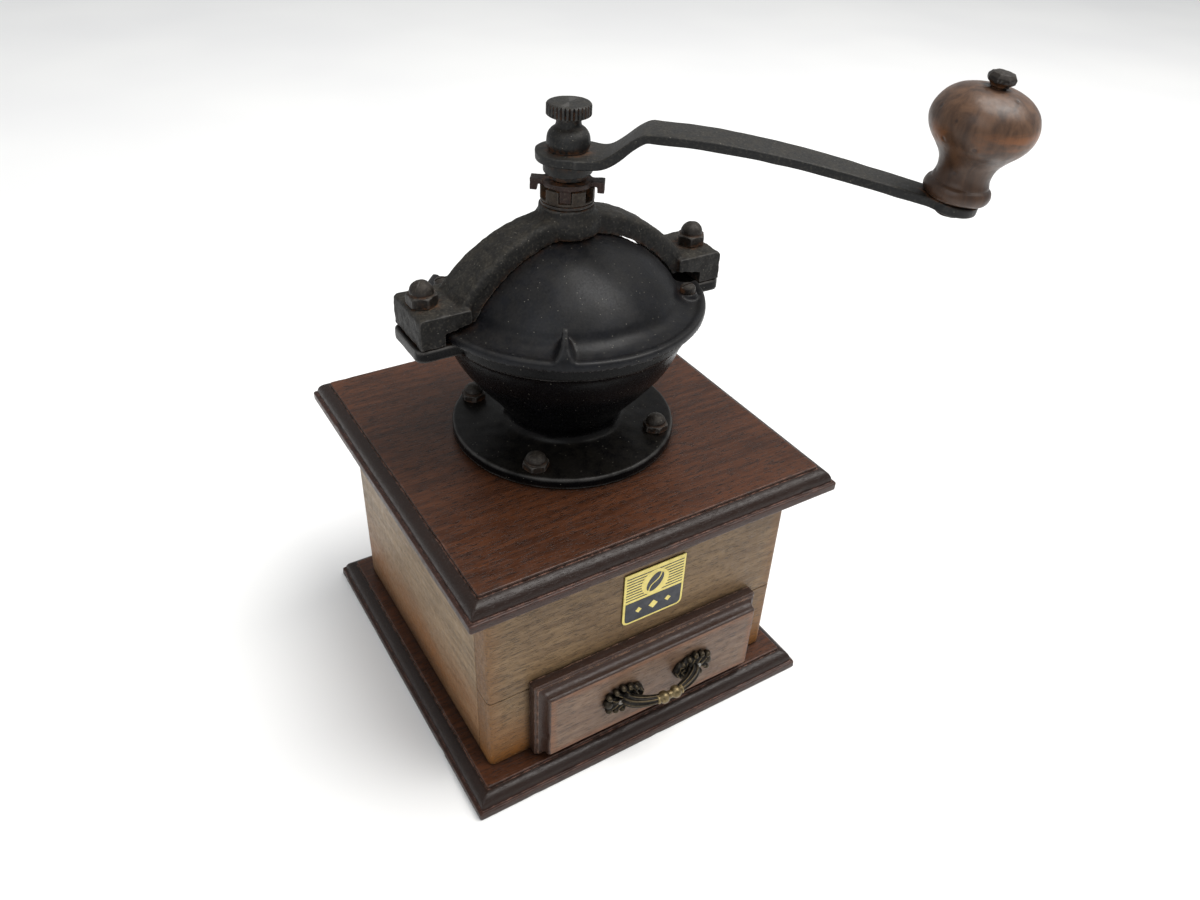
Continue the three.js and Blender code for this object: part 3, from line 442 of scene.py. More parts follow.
def wood(name, dark, light, grain="X", pores=0.62, rough=0.46, coat=0.06,
         worn=paint(150, 120, 86), wear=0.6, corner_shade=0.85, tones=(), seed=0.0, streaky=0.22,
         gloss=0.3):
    """Stained wood: figure, streaks, pores, rubbed edges and painted shade in the corners."""
    g = Graph(name)
    long, short = [[length if axis == grain else 1 for axis in "XYZ"] for length in (10, 7)]
    cloud = g.noise(26, (1.6, 1.6, 1), 3, 0.5, 0.0, seed)
    figure = g.add("Mix", {"Factor": 0.3, "A": g.noise(2.6, long, 5, 0.62, 0.2, seed), "B": cloud})
    g.color = g.mix(g.range(figure.outputs["Result"], 0.32, 0.68), dark, light)
    for tone, share in tones:
        g.layer(share(g), tone)
    streak = g.noise(0.9, long, 3, 0.65, 0.2, seed + 3)
    deep = scaled(dark, 0.35)
    g.layer(g.range(streak, 0.45, 0.75, 0.0, streaky), deep)
    pore = g.range(g.noise(0.5, short, 2, 0.5, 0.0, seed + 7), 0.54, 0.64)
    g.layer(g.times(pore, pores), deep)
    # Near-black in corners and under overhangs: painted shade.
    g.layer(g.times(g.crevice(5), corner_shade), paint(16, 10, 7))
    scuff = g.noise(3, (1, 1, 1), 5, 0.7, 0.0, seed + 11)
    g.layer(g.times(g.edge(0.9), g.range(scuff, 0.42, 0.62, 0.1, wear)), worn)
    roughness = g.range(scuff, 0.3, 0.7, rough - 0.08, rough + 0.12)
    relief = g.math("SUBTRACT", g.times(streak, 0.6), pore)
    return g.finish(roughness, g.bump(relief, 0.05), Coat_Weight=coat, Coat_Roughness=0.25,
                    Specular_IOR_Level=gloss)


def beech(name, light, grain, seed):
    """Bare wood that has never been stained."""
    return wood(name, paint(140, 108, 72), light, grain, pores=0.2, rough=0.62, coat=0.0,
                worn=paint(192, 164, 122), wear=0.4, corner_shade=0.5, seed=seed, streaky=0.45)


def iron(name, shade, dust=0.25, rust=1.0, rough=0.5, lumps=0.12, metal=0.2, ridge_wear_and_highlight=0.4,
         seed=0.0, gloss=0.3, gritty=0.3):
    """Blackened iron: cast grain, dust on what faces up, rust in the corners, ridges lightened by
    wear and a painted highlight.
    """
    g = Graph(name)
    cloud = g.noise(12, detail=5, rough=0.6, seed=seed)
    grit = g.noise(0.7, detail=3, rough=0.7, seed=seed + 5)
    g.color = g.mix(g.range(cloud, 0.35, 0.7), shade, scaled(shade, 1.9))
    dusty = g.times(g.upward(),
                    g.range(g.noise(4, detail=5, seed=seed + 2), 0.38, 0.68, 0.1, dust))
    g.layer(dusty, paint(64, 59, 50))
    grains = g.noise(0.9, detail=2, rough=0.6, seed=seed + 6)
    g.layer(g.range(grains, 0.52, 0.72, 0.0, gritty), paint(86, 82, 72))
    g.layer(g.range(grains, 0.46, 0.3, 0.0, 0.6), paint(4, 4, 4))
    g.layer(g.range(g.spots(2.2, seed), 0.1, 0.05, 0.0, 0.5), paint(128, 124, 114))
    patch = g.range(g.noise(3.2, detail=5, rough=0.7, seed=seed + 9), 0.42, 0.62)
    g.layer(g.times(g.times(g.crevice(4, 0.3, 0.9), patch), rust), paint(104, 68, 42))
    # Lighter on ridges: rubbed wear and a painted edge highlight.
    g.layer(g.times(g.ridge(), g.range(cloud, 0.3, 0.6, 0.2, ridge_wear_and_highlight)), paint(84, 82, 80))
    roughness = g.math("ADD", g.range(grit, 0.3, 0.7, rough - 0.06, rough + 0.08),
                       g.times(dusty, 0.5))
    relief = g.math("ADD", g.times(grit, 0.5),
                    g.times(g.noise(2.4, detail=3, seed=seed + 4), 0.5))
    return g.finish(roughness, g.bump(relief, lumps), Metallic=metal, Specular_IOR_Level=gloss)


def bright_steel(name, shade, rough=0.34):
    """Machined steel inside the mill, with turning marks and a coffee film."""
    g = Graph(name)
    marks = g.noise(0.5, (1, 1, 0.3), 3, 0.6)
    g.color = g.mix(g.range(g.noise(5, detail=4), 0.4, 0.7, 0.0, 0.6), shade, paint(96, 76, 56))
    # Darker brown deep in crevices: painted shade.
    g.layer(g.crevice(3), paint(46, 34, 26))
    return g.finish(g.range(marks, 0.3, 0.7, rough - 0.08, rough + 0.14),
                    g.bump(marks, 0.02), Metallic=0.9)


def antique_brass(name, dark, gold, polish=0.5):
    """Brass blackened in the hollows and rubbed to gold on its ridges."""
    g = Graph(name)
    cloud = g.noise(1.6, detail=4, rough=0.6)
    g.color = g.mix(g.range(cloud, 0.35, 0.7), dark, scaled(dark, 2.2))
    g.layer(g.times(g.ridge(0.5, 0.56), g.range(cloud, 0.3, 0.65, 0.3, polish)), gold)
    g.layer(g.crevice(1.6, 0.3, 0.8), paint(20, 16, 12))
    roughness = g.range(cloud, 0.3, 0.7, 0.3, 0.52)
    return g.finish(roughness, g.bump(g.noise(0.35, detail=3), 0.05), Metallic=0.85)


def sheet_metal_paint(name, shade, metal=0.0):
    """The badge's printed colours: slightly mottled and scratched."""
    g = Graph(name)
    cloud = g.noise(3, detail=5, rough=0.6)
    g.color = g.mix(g.range(cloud, 0.35, 0.75, 0.0, 0.35), shade, scaled(shade, 0.55))
    scratch = g.range(g.noise(0.3, (9, 1, 1), 3, 0.6), 0.62, 0.72, 0.0, 0.4)
    g.layer(scratch, scaled(shade, 0.4))
    return g.finish(g.range(cloud, 0.3, 0.7, 0.32, 0.52), g.bump(cloud, 0.02), Metallic=metal)


def knob_material():
    """Turned knob: brown lacquer gone orange in a band, with dark hand-worn patches and dents."""
    g = Graph("knob_lacquer")
    figure = g.noise(4.5, (1, 1, 7), 5, 0.62, 0.5)
    g.color = g.mix(g.range(figure, 0.3, 0.7), paint(50, 33, 22), paint(88, 63, 45))
    belt = g.times(g.height(243, 247), g.height(255, 250))
    band = g.times(belt, g.range(g.noise(12, (2, 2, 0.8), 4, 0.6, 0.4, 2.0), 0.42, 0.62))
    g.layer(g.times(band, 0.8), paint(120, 72, 36))
    streak = g.noise(0.5, (1, 1, 12), 3, 0.65)
    g.layer(g.range(streak, 0.52, 0.76, 0.0, 0.2), paint(34, 22, 15))
    g.layer(g.times(g.height(250, 236), 0.5), paint(38, 22, 13))
    g.layer(g.range(g.spots(7, 1.3), 0.14, 0.07, 0.0, 0.7), paint(30, 18, 14))
    # Darker in the knob's hollows and where it meets the crank: painted shade.
    g.layer(g.times(g.crevice(4), 0.7), paint(26, 17, 13))
    scuff = g.noise(2.2, detail=5, rough=0.7, seed=4.0)
    relief = g.math("SUBTRACT", g.times(scuff, 0.5), g.range(g.spots(7, 1.3), 0.2, 0.06))
    return g.finish(g.range(scuff, 0.3, 0.7, 0.33, 0.5), g.bump(relief, 0.12),
                    Coat_Weight=0.12, Coat_Roughness=0.28, Specular_IOR_Level=0.3)


# A tone's share is a function of the graph: how much of the tone shows at each place.
def low_tone(top, base=8.0):
    """A tone that deepens towards the bottom of the case: the stain, and painted shade at the foot
    of the side panels.
    """
    def share(g):
        drift = g.noise(16, (2.5, 2.5, 1), 3, seed=1.5)
        return g.times(g.range(g.height(top, base), 0.0, 1.0),
                       g.range(drift, 0.25, 0.7, 0.45, 1.0))
    return share


def patchy(size, low, high, most, seed):
    """Cloudy patches of about that many millimetres."""
    def share(g):
        return g.range(g.noise(size, (3, 3, 1), 4, seed=seed), low, high, 0.0, most)
    return share


def flecks(top):
    """Pale specks of old glue near the foot of the case."""
    def share(g):
        dots = g.range(g.spots(2.8, 2.0), 0.13, 0.07, 0.0, 0.75)
        patch = g.range(g.noise(9, seed=6.0), 0.5, 0.6)
        return g.times(g.times(dots, patch), g.height(top, top - 8))
    return share


def outer_zone(axes, centre, inner, fade, most):
    """Outside a box measured along two axes, grows from 0 to most over the fade."""
    def share(g):
        split = g.add("SeparateXYZ", {"Vector": g.place})
        far = [g.math("ABSOLUTE", g.math("SUBTRACT", split.outputs[axis], middle * MM))
               for axis, middle in zip(axes, centre)]
        edge = g.math("MAXIMUM", g.math("SUBTRACT", far[0], inner[0] * MM),
                      g.math("SUBTRACT", far[1], inner[1] * MM))
        return g.range(edge, 0.0, fade * MM, 0.0, most)
    return share


def drawer_zone(inset, fade, most):
    """The border of the drawer's front, from that far inside its edge."""
    half = (DRAWER_HALF.x - inset, DRAWER_HALF.z - inset)
    return outer_zone("XZ", (DRAWER_CENTRE.x, DRAWER_CENTRE.z), half, fade, most)


DRAWER_LOW, DRAWER_HIGH, DRAWER_CENTRE = node_box("drawer_front")
DRAWER_HALF = (DRAWER_HIGH - DRAWER_LOW) / 2
CASE_HALF = node_box("front_rail")[1].x
MOULDING_START = 73.4
LIP_START = 78.4
BOARD_WOOD = wood(
    "board_mahogany", paint(48, 26, 15), paint(78, 45, 27), pores=0.75, rough=0.36, coat=0.07,
    worn=paint(134, 98, 84), wear=1.0, corner_shade=0.7, streaky=0.38, gloss=0.22, tones=[
        (paint(92, 50, 26), patchy(30, 0.5, 0.75, 0.45, 4.0)),
        (paint(27, 17, 13), outer_zone("XY", (0, 0), [MOULDING_START] * 2, 0.6, 0.94)),
        (paint(54, 31, 24), outer_zone("XY", (0, 0), [LIP_START] * 2, 0.4, 0.75))])
CASE_WOOD = wood(
    "case_walnut", paint(92, 70, 46), paint(124, 100, 70), seed=2.0, tones=[
        (paint(122, 76, 30), low_tone(52)),
        (paint(112, 72, 30), outer_zone("XX", (0, 0), [CASE_HALF - 9] * 2, 9, 0.5)),
        (paint(196, 166, 118), flecks(34))])
SIDE_WOOD = wood(
    "side_walnut", paint(104, 84, 58), paint(146, 124, 96), "Y", pores=0.4, seed=5.0,
    # The dark lowest tone near the foot is painted shade.
    tones=[(paint(124, 78, 32), low_tone(72)), (paint(60, 38, 20), low_tone(30, 6))])
DRAWER_WOOD = wood(
    "drawer_walnut", paint(84, 62, 48), paint(118, 94, 74), pores=0.6, rough=0.42, coat=0.1,
    worn=paint(146, 112, 92), wear=1.0, seed=8.0, streaky=0.26,
    tones=[(paint(118, 70, 36), drawer_zone(8, 3, 0.5)),
           (paint(36, 21, 17), drawer_zone(4.6, 0.5, 0.92))])
BEECH = beech("raw_beech", paint(178, 146, 106), "Y", 3.0)
BEECH_ACROSS = beech("raw_beech_across", paint(174, 142, 102), "X", 6.0)
KNOB_WOOD = knob_material()
DOME_IRON = iron("dome_iron", paint(6, 7, 11), dust=0.03, rust=0.12, rough=0.38, lumps=0.05,
                 metal=0.0, gloss=0.18, gritty=0.04, ridge_wear_and_highlight=0.25)
# Full ridge lightening here paints the flange's bright edge line as a highlight.
BOWL_IRON = iron("bowl_iron", paint(3, 3, 4), dust=0.03, rust=0.08, rough=0.3, lumps=0.06,
                 metal=0.0, ridge_wear_and_highlight=1.0, seed=3.0, gloss=0.1, gritty=0.04)
BRIDGE_IRON = iron("bridge_iron", paint(14, 13, 12), dust=0.32, rust=0.7, rough=0.56, lumps=0.2,
                   metal=0.0, seed=6.0, gritty=0.24, gloss=0.22)
NUT_IRON = iron("nut_iron", paint(22, 17, 14), seed=9.0, gritty=0.25)
CRANK_STEEL = iron("crank_steel", paint(14, 14, 14), dust=0.28, rust=0.7, rough=0.48, lumps=0.08,
                   metal=0.1, seed=12.0, gritty=0.2)
STOPPER_STEEL = iron("stopper_steel", paint(38, 24, 20), dust=0.2, seed=15.0)
SETTER_STEEL = iron("setter_steel", paint(38, 30, 22), dust=0.3, lumps=0.1, seed=18.0)
SHAFT_STEEL = bright_steel("shaft_steel", paint(120, 118, 114))
BURR_STEEL = bright_steel("burr_steel", paint(148, 146, 142), 0.3)
PULL_BRASS = antique_brass("pull_brass", paint(27, 25, 23), paint(142, 122, 84))
BEAD_BRASS = antique_brass("bead_brass", paint(86, 75, 54), paint(164, 146, 106), 0.7)
BUSHING_BRASS = antique_brass("bushing_brass", paint(110, 86, 48), paint(190, 152, 84))
BADGE_GOLD = sheet_metal_paint("badge_gold_leaf", paint(226, 208, 118), 0.1)
BADGE_NAVY = sheet_metal_paint("badge_navy", paint(34, 38, 48))


# ---- Wooden case
BOARD_LOW, BOARD_HIGH, _ = node_box("top_board")
BOARD_HALF = BOARD_HIGH.x
BOARD_THICK = BOARD_HIGH.z - BOARD_LOW.z
LIP_HEIGHT = 3.6
QUIRK = 1.4
OVOLO = 4.6
MOULDING_INSET = 6.05
CHUTE_RADIUS = 26.3
EDGE_STEPS = 48
EDGE_ROUND = 0.9


def board_profile(base):
    """Square lip, quirk, quarter round and a small step, from the underside up, as [inset, z]."""
    shelf = base + LIP_HEIGHT
    lip = soften([(1.5, base), (0, base, 0.7), (0, shelf, 0.6), (QUIRK, shelf + 0.1, 0.3),
                  (QUIRK, shelf + 0.5)])
    ovolo = [(QUIRK + OVOLO * (1 - cos(t)), shelf + 0.5 + OVOLO * sin(t))
             for t in (radians(8 * k) for k in range(1, 12))]
    top = base + BOARD_THICK
    step = soften([(MOULDING_INSET, shelf + 0.5 + OVOLO), (MOULDING_INSET + 0.1, top, 0.45),
                   (MOULDING_INSET + 2.5, top)])
    return [*lip, *ovolo, *step]


def edge_loop(half_x, half_y):
    """Points round a rectangle with small round corners, anticlockwise."""
    corners = [(1, 1), (-1, 1), (-1, -1), (1, -1)]
    centres = [Vector((x * (half_x - EDGE_ROUND), y * (half_y - EDGE_ROUND))) for x, y in corners]
    loop = []
    for corner, centre in enumerate(centres):
        for step in range(5):
            angle = radians(90 * corner + 22.5 * step)
            arm = EDGE_ROUND * Vector((cos(angle), sin(angle)))
            loop.append(centre + arm)
        start = loop[-1]
        end = centres[(corner + 1) % 4] + arm
        loop += [start.lerp(end, k / EDGE_STEPS) for k in range(1, EDGE_STEPS)]
    return loop


def moulded_board(profile, half_x, half_y, hole=None):
    """A board whose edge follows the profile; a hole goes right through."""
    rings = []
    for inset, z in profile:
        rings.append([(x, y, z) for x, y in edge_loop(half_x - inset, half_y - inset)])
    if hole is None:
        return skin(rings)
    circle = [point.normalized() * hole for point in edge_loop(half_x, half_y)]
    rings += [[(x, y, z) for x, y in circle] for _, z in (profile[-1], profile[0])]
    return skin(rings, loop=True)


def nick_edges(obj, depth, seed):
    """Small knocks along a board's outer corners."""
    def push(point):
        knock = max(0.0, noise.noise(point / (7 * MM) + Vector((seed, 0, seed))) - 0.42) * 4
        lump = 0.1 * noise.noise(point / (22 * MM) + Vector((0, seed, 0)))
        return -depth * (knock + lump)

    push_skin(obj, push)


def make_boards():
    for node, hole, seed in [("top_board", CHUTE_RADIUS, 1.0), ("base_board", None, 5.0)]:
        profile = board_profile(node_box(node)[0].z)
        obj = new_object(node + "_moulded", moulded_board(profile, BOARD_HALF, BOARD_HALF, hole))
        nick_edges(obj, 0.35, seed)
        piece(obj, "mill_body", "mahogany", BOARD_WOOD, [node])


def make_case():
    corner = 2.5
    plans = {
        "side_panel_left": ([0, 0, 0, corner], SIDE_WOOD),
        "side_panel_right": ([0, 0, corner, 0], SIDE_WOOD),
        "back_panel": ([0, 0, 0, 0], CASE_WOOD),
        "front_rail": ([corner, corner, 0, 0], CASE_WOOD),
        "front_stile_left": ([corner, 0, 0, 0], CASE_WOOD),
        "front_stile_right": ([0, corner, 0, 0], CASE_WOOD),
    }
    for node, (radii, material) in plans.items():
        low, high, _ = node_box(node)
        outline = rectangle(low.x, low.y, high.x, high.y, radii)
        obj = new_object(node + "_board", prism(outline, low.z, high.z))
        bevel(obj, 0.35)
        piece(obj, "mill_body", "walnut", material, [node])


# ---- Badge: a plain shield of gold and navy with a coffee bean
BADGE_LOW, BADGE_HIGH, BADGE_CENTRE = node_box("badge_plate")
BADGE_FRONT = BADGE_LOW.y
BADGE_SPLIT = BADGE_LOW.z + 11.5
BADGE_RIM = 1.0
BEAN_Z = BADGE_SPLIT + 7.0
PRINT = 0.08


def badge_print(name, shapes, material):
    plain_piece(name, combine(*shapes), "mill_body", "badge_gold", material)


def make_badge_plate():
    plate = rectangle(BADGE_LOW.x, BADGE_LOW.z, BADGE_HIGH.x, BADGE_HIGH.z, [3, 3, 0.4, 0.4])
    obj = new_object("badge_gold_plate", upright(plate, BADGE_FRONT + PRINT, BADGE_HIGH.y))
    bevel(obj, PRINT, 2)
    piece(obj, "mill_body", "badge_gold", BADGE_GOLD, ["badge_plate"])


def make_badge_field():
    """The navy field, with a row of lines above it."""
    left, right = BADGE_LOW.x + BADGE_RIM, BADGE_HIGH.x - BADGE_RIM
    outlines = [rectangle(left, BADGE_LOW.z + BADGE_RIM, right, BADGE_SPLIT, [2.2, 2.2, 0.2, 0.2])]
    for line in range(9):
        z = BADGE_SPLIT + 1.4 + line * 1.45
        outlines.append(rectangle(left, z, right, z + 0.42))
    badge_print("badge_navy_print", [upright(outline, BADGE_FRONT, BADGE_FRONT + 2 * PRINT)
                                     for outline in outlines], BADGE_NAVY)


def make_badge_bean():
    """A gold disc with a coffee bean in two halves."""
    disc = [(BADGE_CENTRE.x + 6.4 * cos(a), BEAN_Z + 6.4 * sin(a))
            for a in (TURN * k / 48 for k in range(48))]
    badge_print("badge_disc", [upright(disc, BADGE_FRONT - 0.02, BADGE_FRONT + 2 * PRINT)],
                BADGE_GOLD)
    tilt = Matrix.Translation((BADGE_CENTRE.x, 0, BEAN_Z)) @ rotation(35, "Y")
    long, wide, gap = 4.9, 2.9, 0.35
    halves = []
    for sign in (-1, 1):
        half = [(sign * (gap + wide * cos(a)), long * sin(a))
                for a in (pi * k / 24 - pi / 2 for k in range(25))]
        crease = [(sign * gap + 0.7 * sin(pi * z / long), z)
                  for z in (long - 2 * long * k / 16 for k in range(1, 16))]
        shape = upright([*half, *crease], BADGE_FRONT - PRINT, BADGE_FRONT + PRINT)
        halves.append(moved(shape, tilt))
    badge_print("badge_bean", halves, BADGE_NAVY)


def make_badge_diamonds():
    z = BADGE_LOW.z + 6.2
    shift = 7 * (BADGE_HIGH.x - BADGE_LOW.x) / 28.6
    diamonds = []
    for x, size in [(-shift, 1.5), (0, 2.2), (shift, 1.5)]:
        x += BADGE_CENTRE.x
        outline = [(x - size, z), (x, z - size), (x + size, z), (x, z + size)]
        diamonds.append(upright(outline, BADGE_FRONT - 0.06, BADGE_FRONT + PRINT))
    badge_print("badge_diamonds", diamonds, BADGE_GOLD)


# ---- Drawer
def make_drawer_front():
    low, high, centre = node_box("drawer_front")
    half_x, half_z = (high.x - low.x) / 2, (high.z - low.z) / 2
    thick = high.y - low.y
    side = soften([(0, 0), (0, 3.9, 0.35), (0.9, 4.3, 0.2), (1.0, 4.9)])
    hollow = [(1.0 + 2.4 * sin(t), 4.9 + 3.6 * (1 - cos(t)))
              for t in (radians(10 * k) for k in range(1, 10))]
    rim = soften([(3.5, 8.9, 0.2), (4.0, thick - 0.1, 0.3), (4.7, thick, 0.2), (6.5, thick)])
    shape = moulded_board([*side, *hollow, *rim], half_x, half_z)
    to_front = Matrix.Translation((centre.x, high.y, centre.z))
    obj = new_object("drawer_front_moulded", moved(shape, to_front @ rotation(90, "X")))
    nick_edges(obj, 0.3, 9.0)
    piece(obj, "drawer", "walnut", DRAWER_WOOD, ["drawer_front"])


def make_drawer_box():
    for node in ("drawer_side_left", "drawer_side_right", "drawer_bottom"):
        dress(node, BEECH, 0.5)
    dress("drawer_back", BEECH_ACROSS, 0.5)
    for side in ("left", "right"):
        dress("pull_screw_" + side, SHAFT_STEEL, 0.15)
        dress("drawer_guide_" + side, BEECH, 0.4)


PULL_SPAN = 33
PULL_REACH = 9


def pull_leaf(sign, root):
    """An acanthus leaf: paired petals that shrink towards a curled tip, over a raised rib."""
    shapes = []
    pairs = [(-7.6, 3.4, 3.0, 60), (-4.6, 5.2, 4.0, 60), (-1.4, 6.2, 4.8, 55),
             (1.8, 5.4, 4.2, 44), (5.0, 3.8, 3.2, 32)]
    for along, spread, length, lean in pairs:
        petal = [(0.6, -0.4, 0.52, (length, 1.9, 1.25), 18),
                 (2.6, -1.2, 0.96, (1.5, 1.8, 1.25), 14),
                 (0.2, -1.9, 0.42, (length * 0.85, 1.1, 0.4), 14)]
        for side in (-1, 1):
            turn = rotation(-sign * side * lean, "Y")
            for ahead, y, share, sizes, count in petal:
                spot = root + Vector((sign * (along + ahead), y, side * spread * share))
                shapes.append(ball(spot, sizes, count, turn))
    shapes.append(ball(root + Vector((sign * 1.2, -0.4, 0)), (7.4, 2.4, 1.5), 18))
    shapes.append(ball(root + Vector((sign * 7.9, -0.9, 0)), (2.0, 2.1, 2.3), 16))
    return shapes


def make_pull():
    _, high, centre = node_box("drawer_pull")
    face = high.y
    shapes = []
    for sign in (-1, 1):
        root = Vector((centre.x + sign * PULL_SPAN / 2, face, centre.z))
        shapes += pull_leaf(sign, root)
        path = []
        for k in range(25):
            t = k / 24 * 0.42
            reach = 1.4 + (PULL_REACH - 1.4) * sqrt(sin(pi * t))
            path.append(Vector((centre.x + sign * PULL_SPAN * (0.5 - t), face - reach, centre.z)))
        shapes.append(rod(path, lambda t: 2.7 - 1.2 * t, 40, flutes=8, depth=0.13))
    obj = new_object("drawer_pull_casting", combine(*shapes))
    fuse(obj, 0.2, 1)
    behind = prism(rectangle(-60, -10, 60, 10), -20, 20)
    bore(obj, shifted(behind, centre.x, face + 10, centre.z))
    piece(obj, "drawer", "aged_brass", PULL_BRASS, ["drawer_pull"])
    bead, middle, collar = (2.5, 2.7, 2.7), (1.6, 1.7, 1.7), (0.8, 2.0, 2.0)
    row = [(-2.9, 0, bead, 24), (2.9, 0, bead, 24), (0, 0, middle, 20),
           (-5.7, 0.1, collar, 16), (5.7, 0.1, collar, 16)]
    beads = [ball((centre.x + along, face - PULL_REACH + back, centre.z), sizes, count)
             for along, back, sizes, count in row]
    obj = new_object("drawer_pull_beads", combine(*beads))
    fuse(obj, 0.24, 1)
    piece(obj, "drawer", "aged_brass", BEAD_BRASS)


# ---- Hopper
HOPPER_LOW, HOPPER_HIGH, _ = node_box("hopper_bowl")
RIM_Z = HOPPER_HIGH.z
EAR_REACH = HOPPER_HIGH.x
EAR_THICK = 4.5
FOOT_WIDTH = 24


def hopper_profile():
    deck = BOARD_HIGH.z + 0.3
    top = deck + 4.5
    return soften([
        (22, HOPPER_LOW.z, 0.5), (26, HOPPER_LOW.z, 0.5), (26, deck, 0.4), (45, deck, 0.6),
        (45, top - 0.6, 0.4), (44.4, top, 0.3), (30, top + 0.2, 6), (23.8, top + 1.6, 4),
        (22.6, top + 5.0, 4), (28.6, 133.4, 5), (36.2, 142.6, 6), (42.2, 151.0, 5),
        (45.2, 158.2, 4), (46.6, 164.2, 1.0),
        (48.4, 165.0, 0.6), (48.9, RIM_Z, 0.4), (46.8, RIM_Z, 0.4), (46.8, 168.2, 0.4),
        (44.6, 168.2, 0.8), (39.6, 157.4, 4), (30.6, 143.4, 4), (18.6, 124.6, 3),
        (18.6, 118.3, 0.4), (22, 118.3, 0.4),
    ], True, 4)


def make_hopper():
    shapes = [lathe(hopper_profile(), 160, bored=True)]
    for sign in (-1, 1):
        ends = sorted((sign * 46.8, sign * EAR_REACH))
        radii = [0, 3.5, 3.5, 0] if sign > 0 else [3.5, 0, 0, 3.5]
        plan = rectangle(ends[0], -FOOT_WIDTH / 2, ends[1], FOOT_WIDTH / 2, radii)
        shapes.append(prism(plan, RIM_Z - EAR_THICK, RIM_Z))
    obj = new_object("hopper_casting", combine(*shapes))
    fuse(obj, 0.65, 2)
    roughen(obj, 5, 0.12)
    piece(obj, "mill_body", "cast_iron", BOWL_IRON, ["hopper_bowl"])


def hexagon_limit(corner):
    """How far out a hexagon reaches at each angle, with a corner at zero."""
    flat = corner * cos(radians(30))
    sixth = TURN / 6
    return lambda angle: flat / cos((angle % sixth) - sixth / 2)


def acorn_nut(corner, height, dome_height):
    """A domed nut standing on z = 0."""
    dome = corner * 0.76
    profile = [(AXIS, 0), (corner * 0.9, 0), (corner * 0.97, 0.2), (corner, 0.5)]
    profile += [(corner, height - 1.0), (corner * 0.97, height - 0.65),
                (corner * 0.93, height - 0.35), (corner * 0.86, height - 0.1), (dome, height)]
    profile += [(dome * 0.97, height + 0.2), (dome * 0.985, height + 0.5)]
    profile += [(dome * cos(t), height + 0.4 + dome_height * sin(t))
                for t in (radians(14 + 76 * k / 10) for k in range(10))]
    profile.append((AXIS, height + 0.4 + dome_height))
    return lathe(profile, 96, limit=hexagon_limit(corner))


def make_nuts():
    flange_nut = (5.2, 2.7, 3.3)
    bridge_nut = (5.7, 3.9, 4.2)
    nuts = {f"hopper_nut_{k + 1}": (flange_nut, azimuth) for k, azimuth in
            enumerate((-135, -45, 45, 135))}
    nuts.update({"bridge_nut_left": (bridge_nut, 272), "bridge_nut_right": (bridge_nut, 115)})
    for index, (node, (sizes, azimuth)) in enumerate(nuts.items()):
        nut = turned_by(acorn_nut(*sizes), azimuth)
        obj = new_object(node + "_domed", standing_at(node, nut))
        roughen(obj, 2.2, 0.16, index)
        piece(obj, "mill_body", "forged_steel", NUT_IRON, [node], 30)
    for side in ("left", "right"):
        node = "bridge_bolt_" + side
        low, high, _ = node_box(node)
        top = high.z - low.z
        bolt = lathe([(AXIS, 0), (3.9, 0), (4.6, 0.4), (5, 0.8), (5, 2.7), (4.6, 3.2), (4.2, 3.4),
                      (2.3, 3.4), (2.3, top - 0.3), (2.0, top), (AXIS, top)],
                     limit=hexagon_limit(5))
        plain_piece(node + "_hex", standing_at(node, bolt), "mill_body", "forged_steel",
                    NUT_IRON, [node], 30)
    for k in range(4):
        dress(f"hopper_bolt_{k + 1}", NUT_IRON, 0.2)
        dress(f"case_screw_{k + 1}", SHAFT_STEEL, 0.15)


# ---- Lid and rear dome
DOME_CENTRE_Z = 149
DOME_RADIUS = 51
DOME_WALL = 2.3
DOME_HOLE = 9
LID_BASE = node_box("lid_dome")[0].z
LID_AZIMUTH = -120
LID_HALF_SPAN = 104
STOP_HEAD = 3.2


def dome_angle(radius, reach):
    """Elevation on a sphere about the dome's centre where it is that far from the axis."""
    return degrees(acos(reach / radius))


def dome_arc(radius, start, end, steps):
    """Points of an arc about the dome's centre, from one elevation to another, as (radius, z)."""
    angles = [radians(start + (end - start) * step / steps) for step in range(steps + 1)]
    return [(radius * cos(a), DOME_CENTRE_Z + radius * sin(a)) for a in angles]


def lid_profile():
    inner = DOME_RADIUS - DOME_WALL
    base_angle = degrees(asin((LID_BASE - DOME_CENTRE_Z) / inner))
    skirt = soften([
        (53, LID_BASE, 0.5), (53, 174.0, 0.6), (52.3, 174.9, 0.5), (50.9, 174.9, 0.6),
        (49.4, 174.2, 1.2), (45.4, 174.9, 2.0), (42.4, 176.6, 1.8), (40.7, 179.75)])
    outside = dome_arc(DOME_RADIUS, dome_angle(DOME_RADIUS, 40.4),
                       dome_angle(DOME_RADIUS, DOME_HOLE), 26)
    inside = dome_arc(inner, dome_angle(inner, DOME_HOLE), base_angle, 26)
    return [*skirt, *outside, *inside]


def lid_fin():
    """A thumb piece: a wedge that stands on the flange, flared where it meets it."""
    rings = []
    for share, z in [(0, 173.0), (0.12, 175.2), (0.3, 176.9), (0.55, 179.0), (0.8, 182.0),
                     (1, 184.3)]:
        thick = 1.05 + 3.4 * (1 - share) ** 2.6
        inner = 39.5 + 5.6 * share
        outer = 53.0 - 6.6 * share ** 1.5
        outline = rectangle(inner, -thick, outer, thick, [min(thick, 1.4) * 0.9] * 4)
        rings.append([(x, y, z) for x, y in outline])
    return turned_by(skin(rings), LID_AZIMUTH)


def screw_pad(node):
    """The raised pad on the flange that a stop screw stands on."""
    _, high, centre = node_box(node)
    top = high.z - STOP_HEAD
    pad = lathe([(AXIS, 173), (4.6, 173), (3.4, top), (AXIS, top)], 40)
    return shifted(pad, centre.x, centre.y, 0)


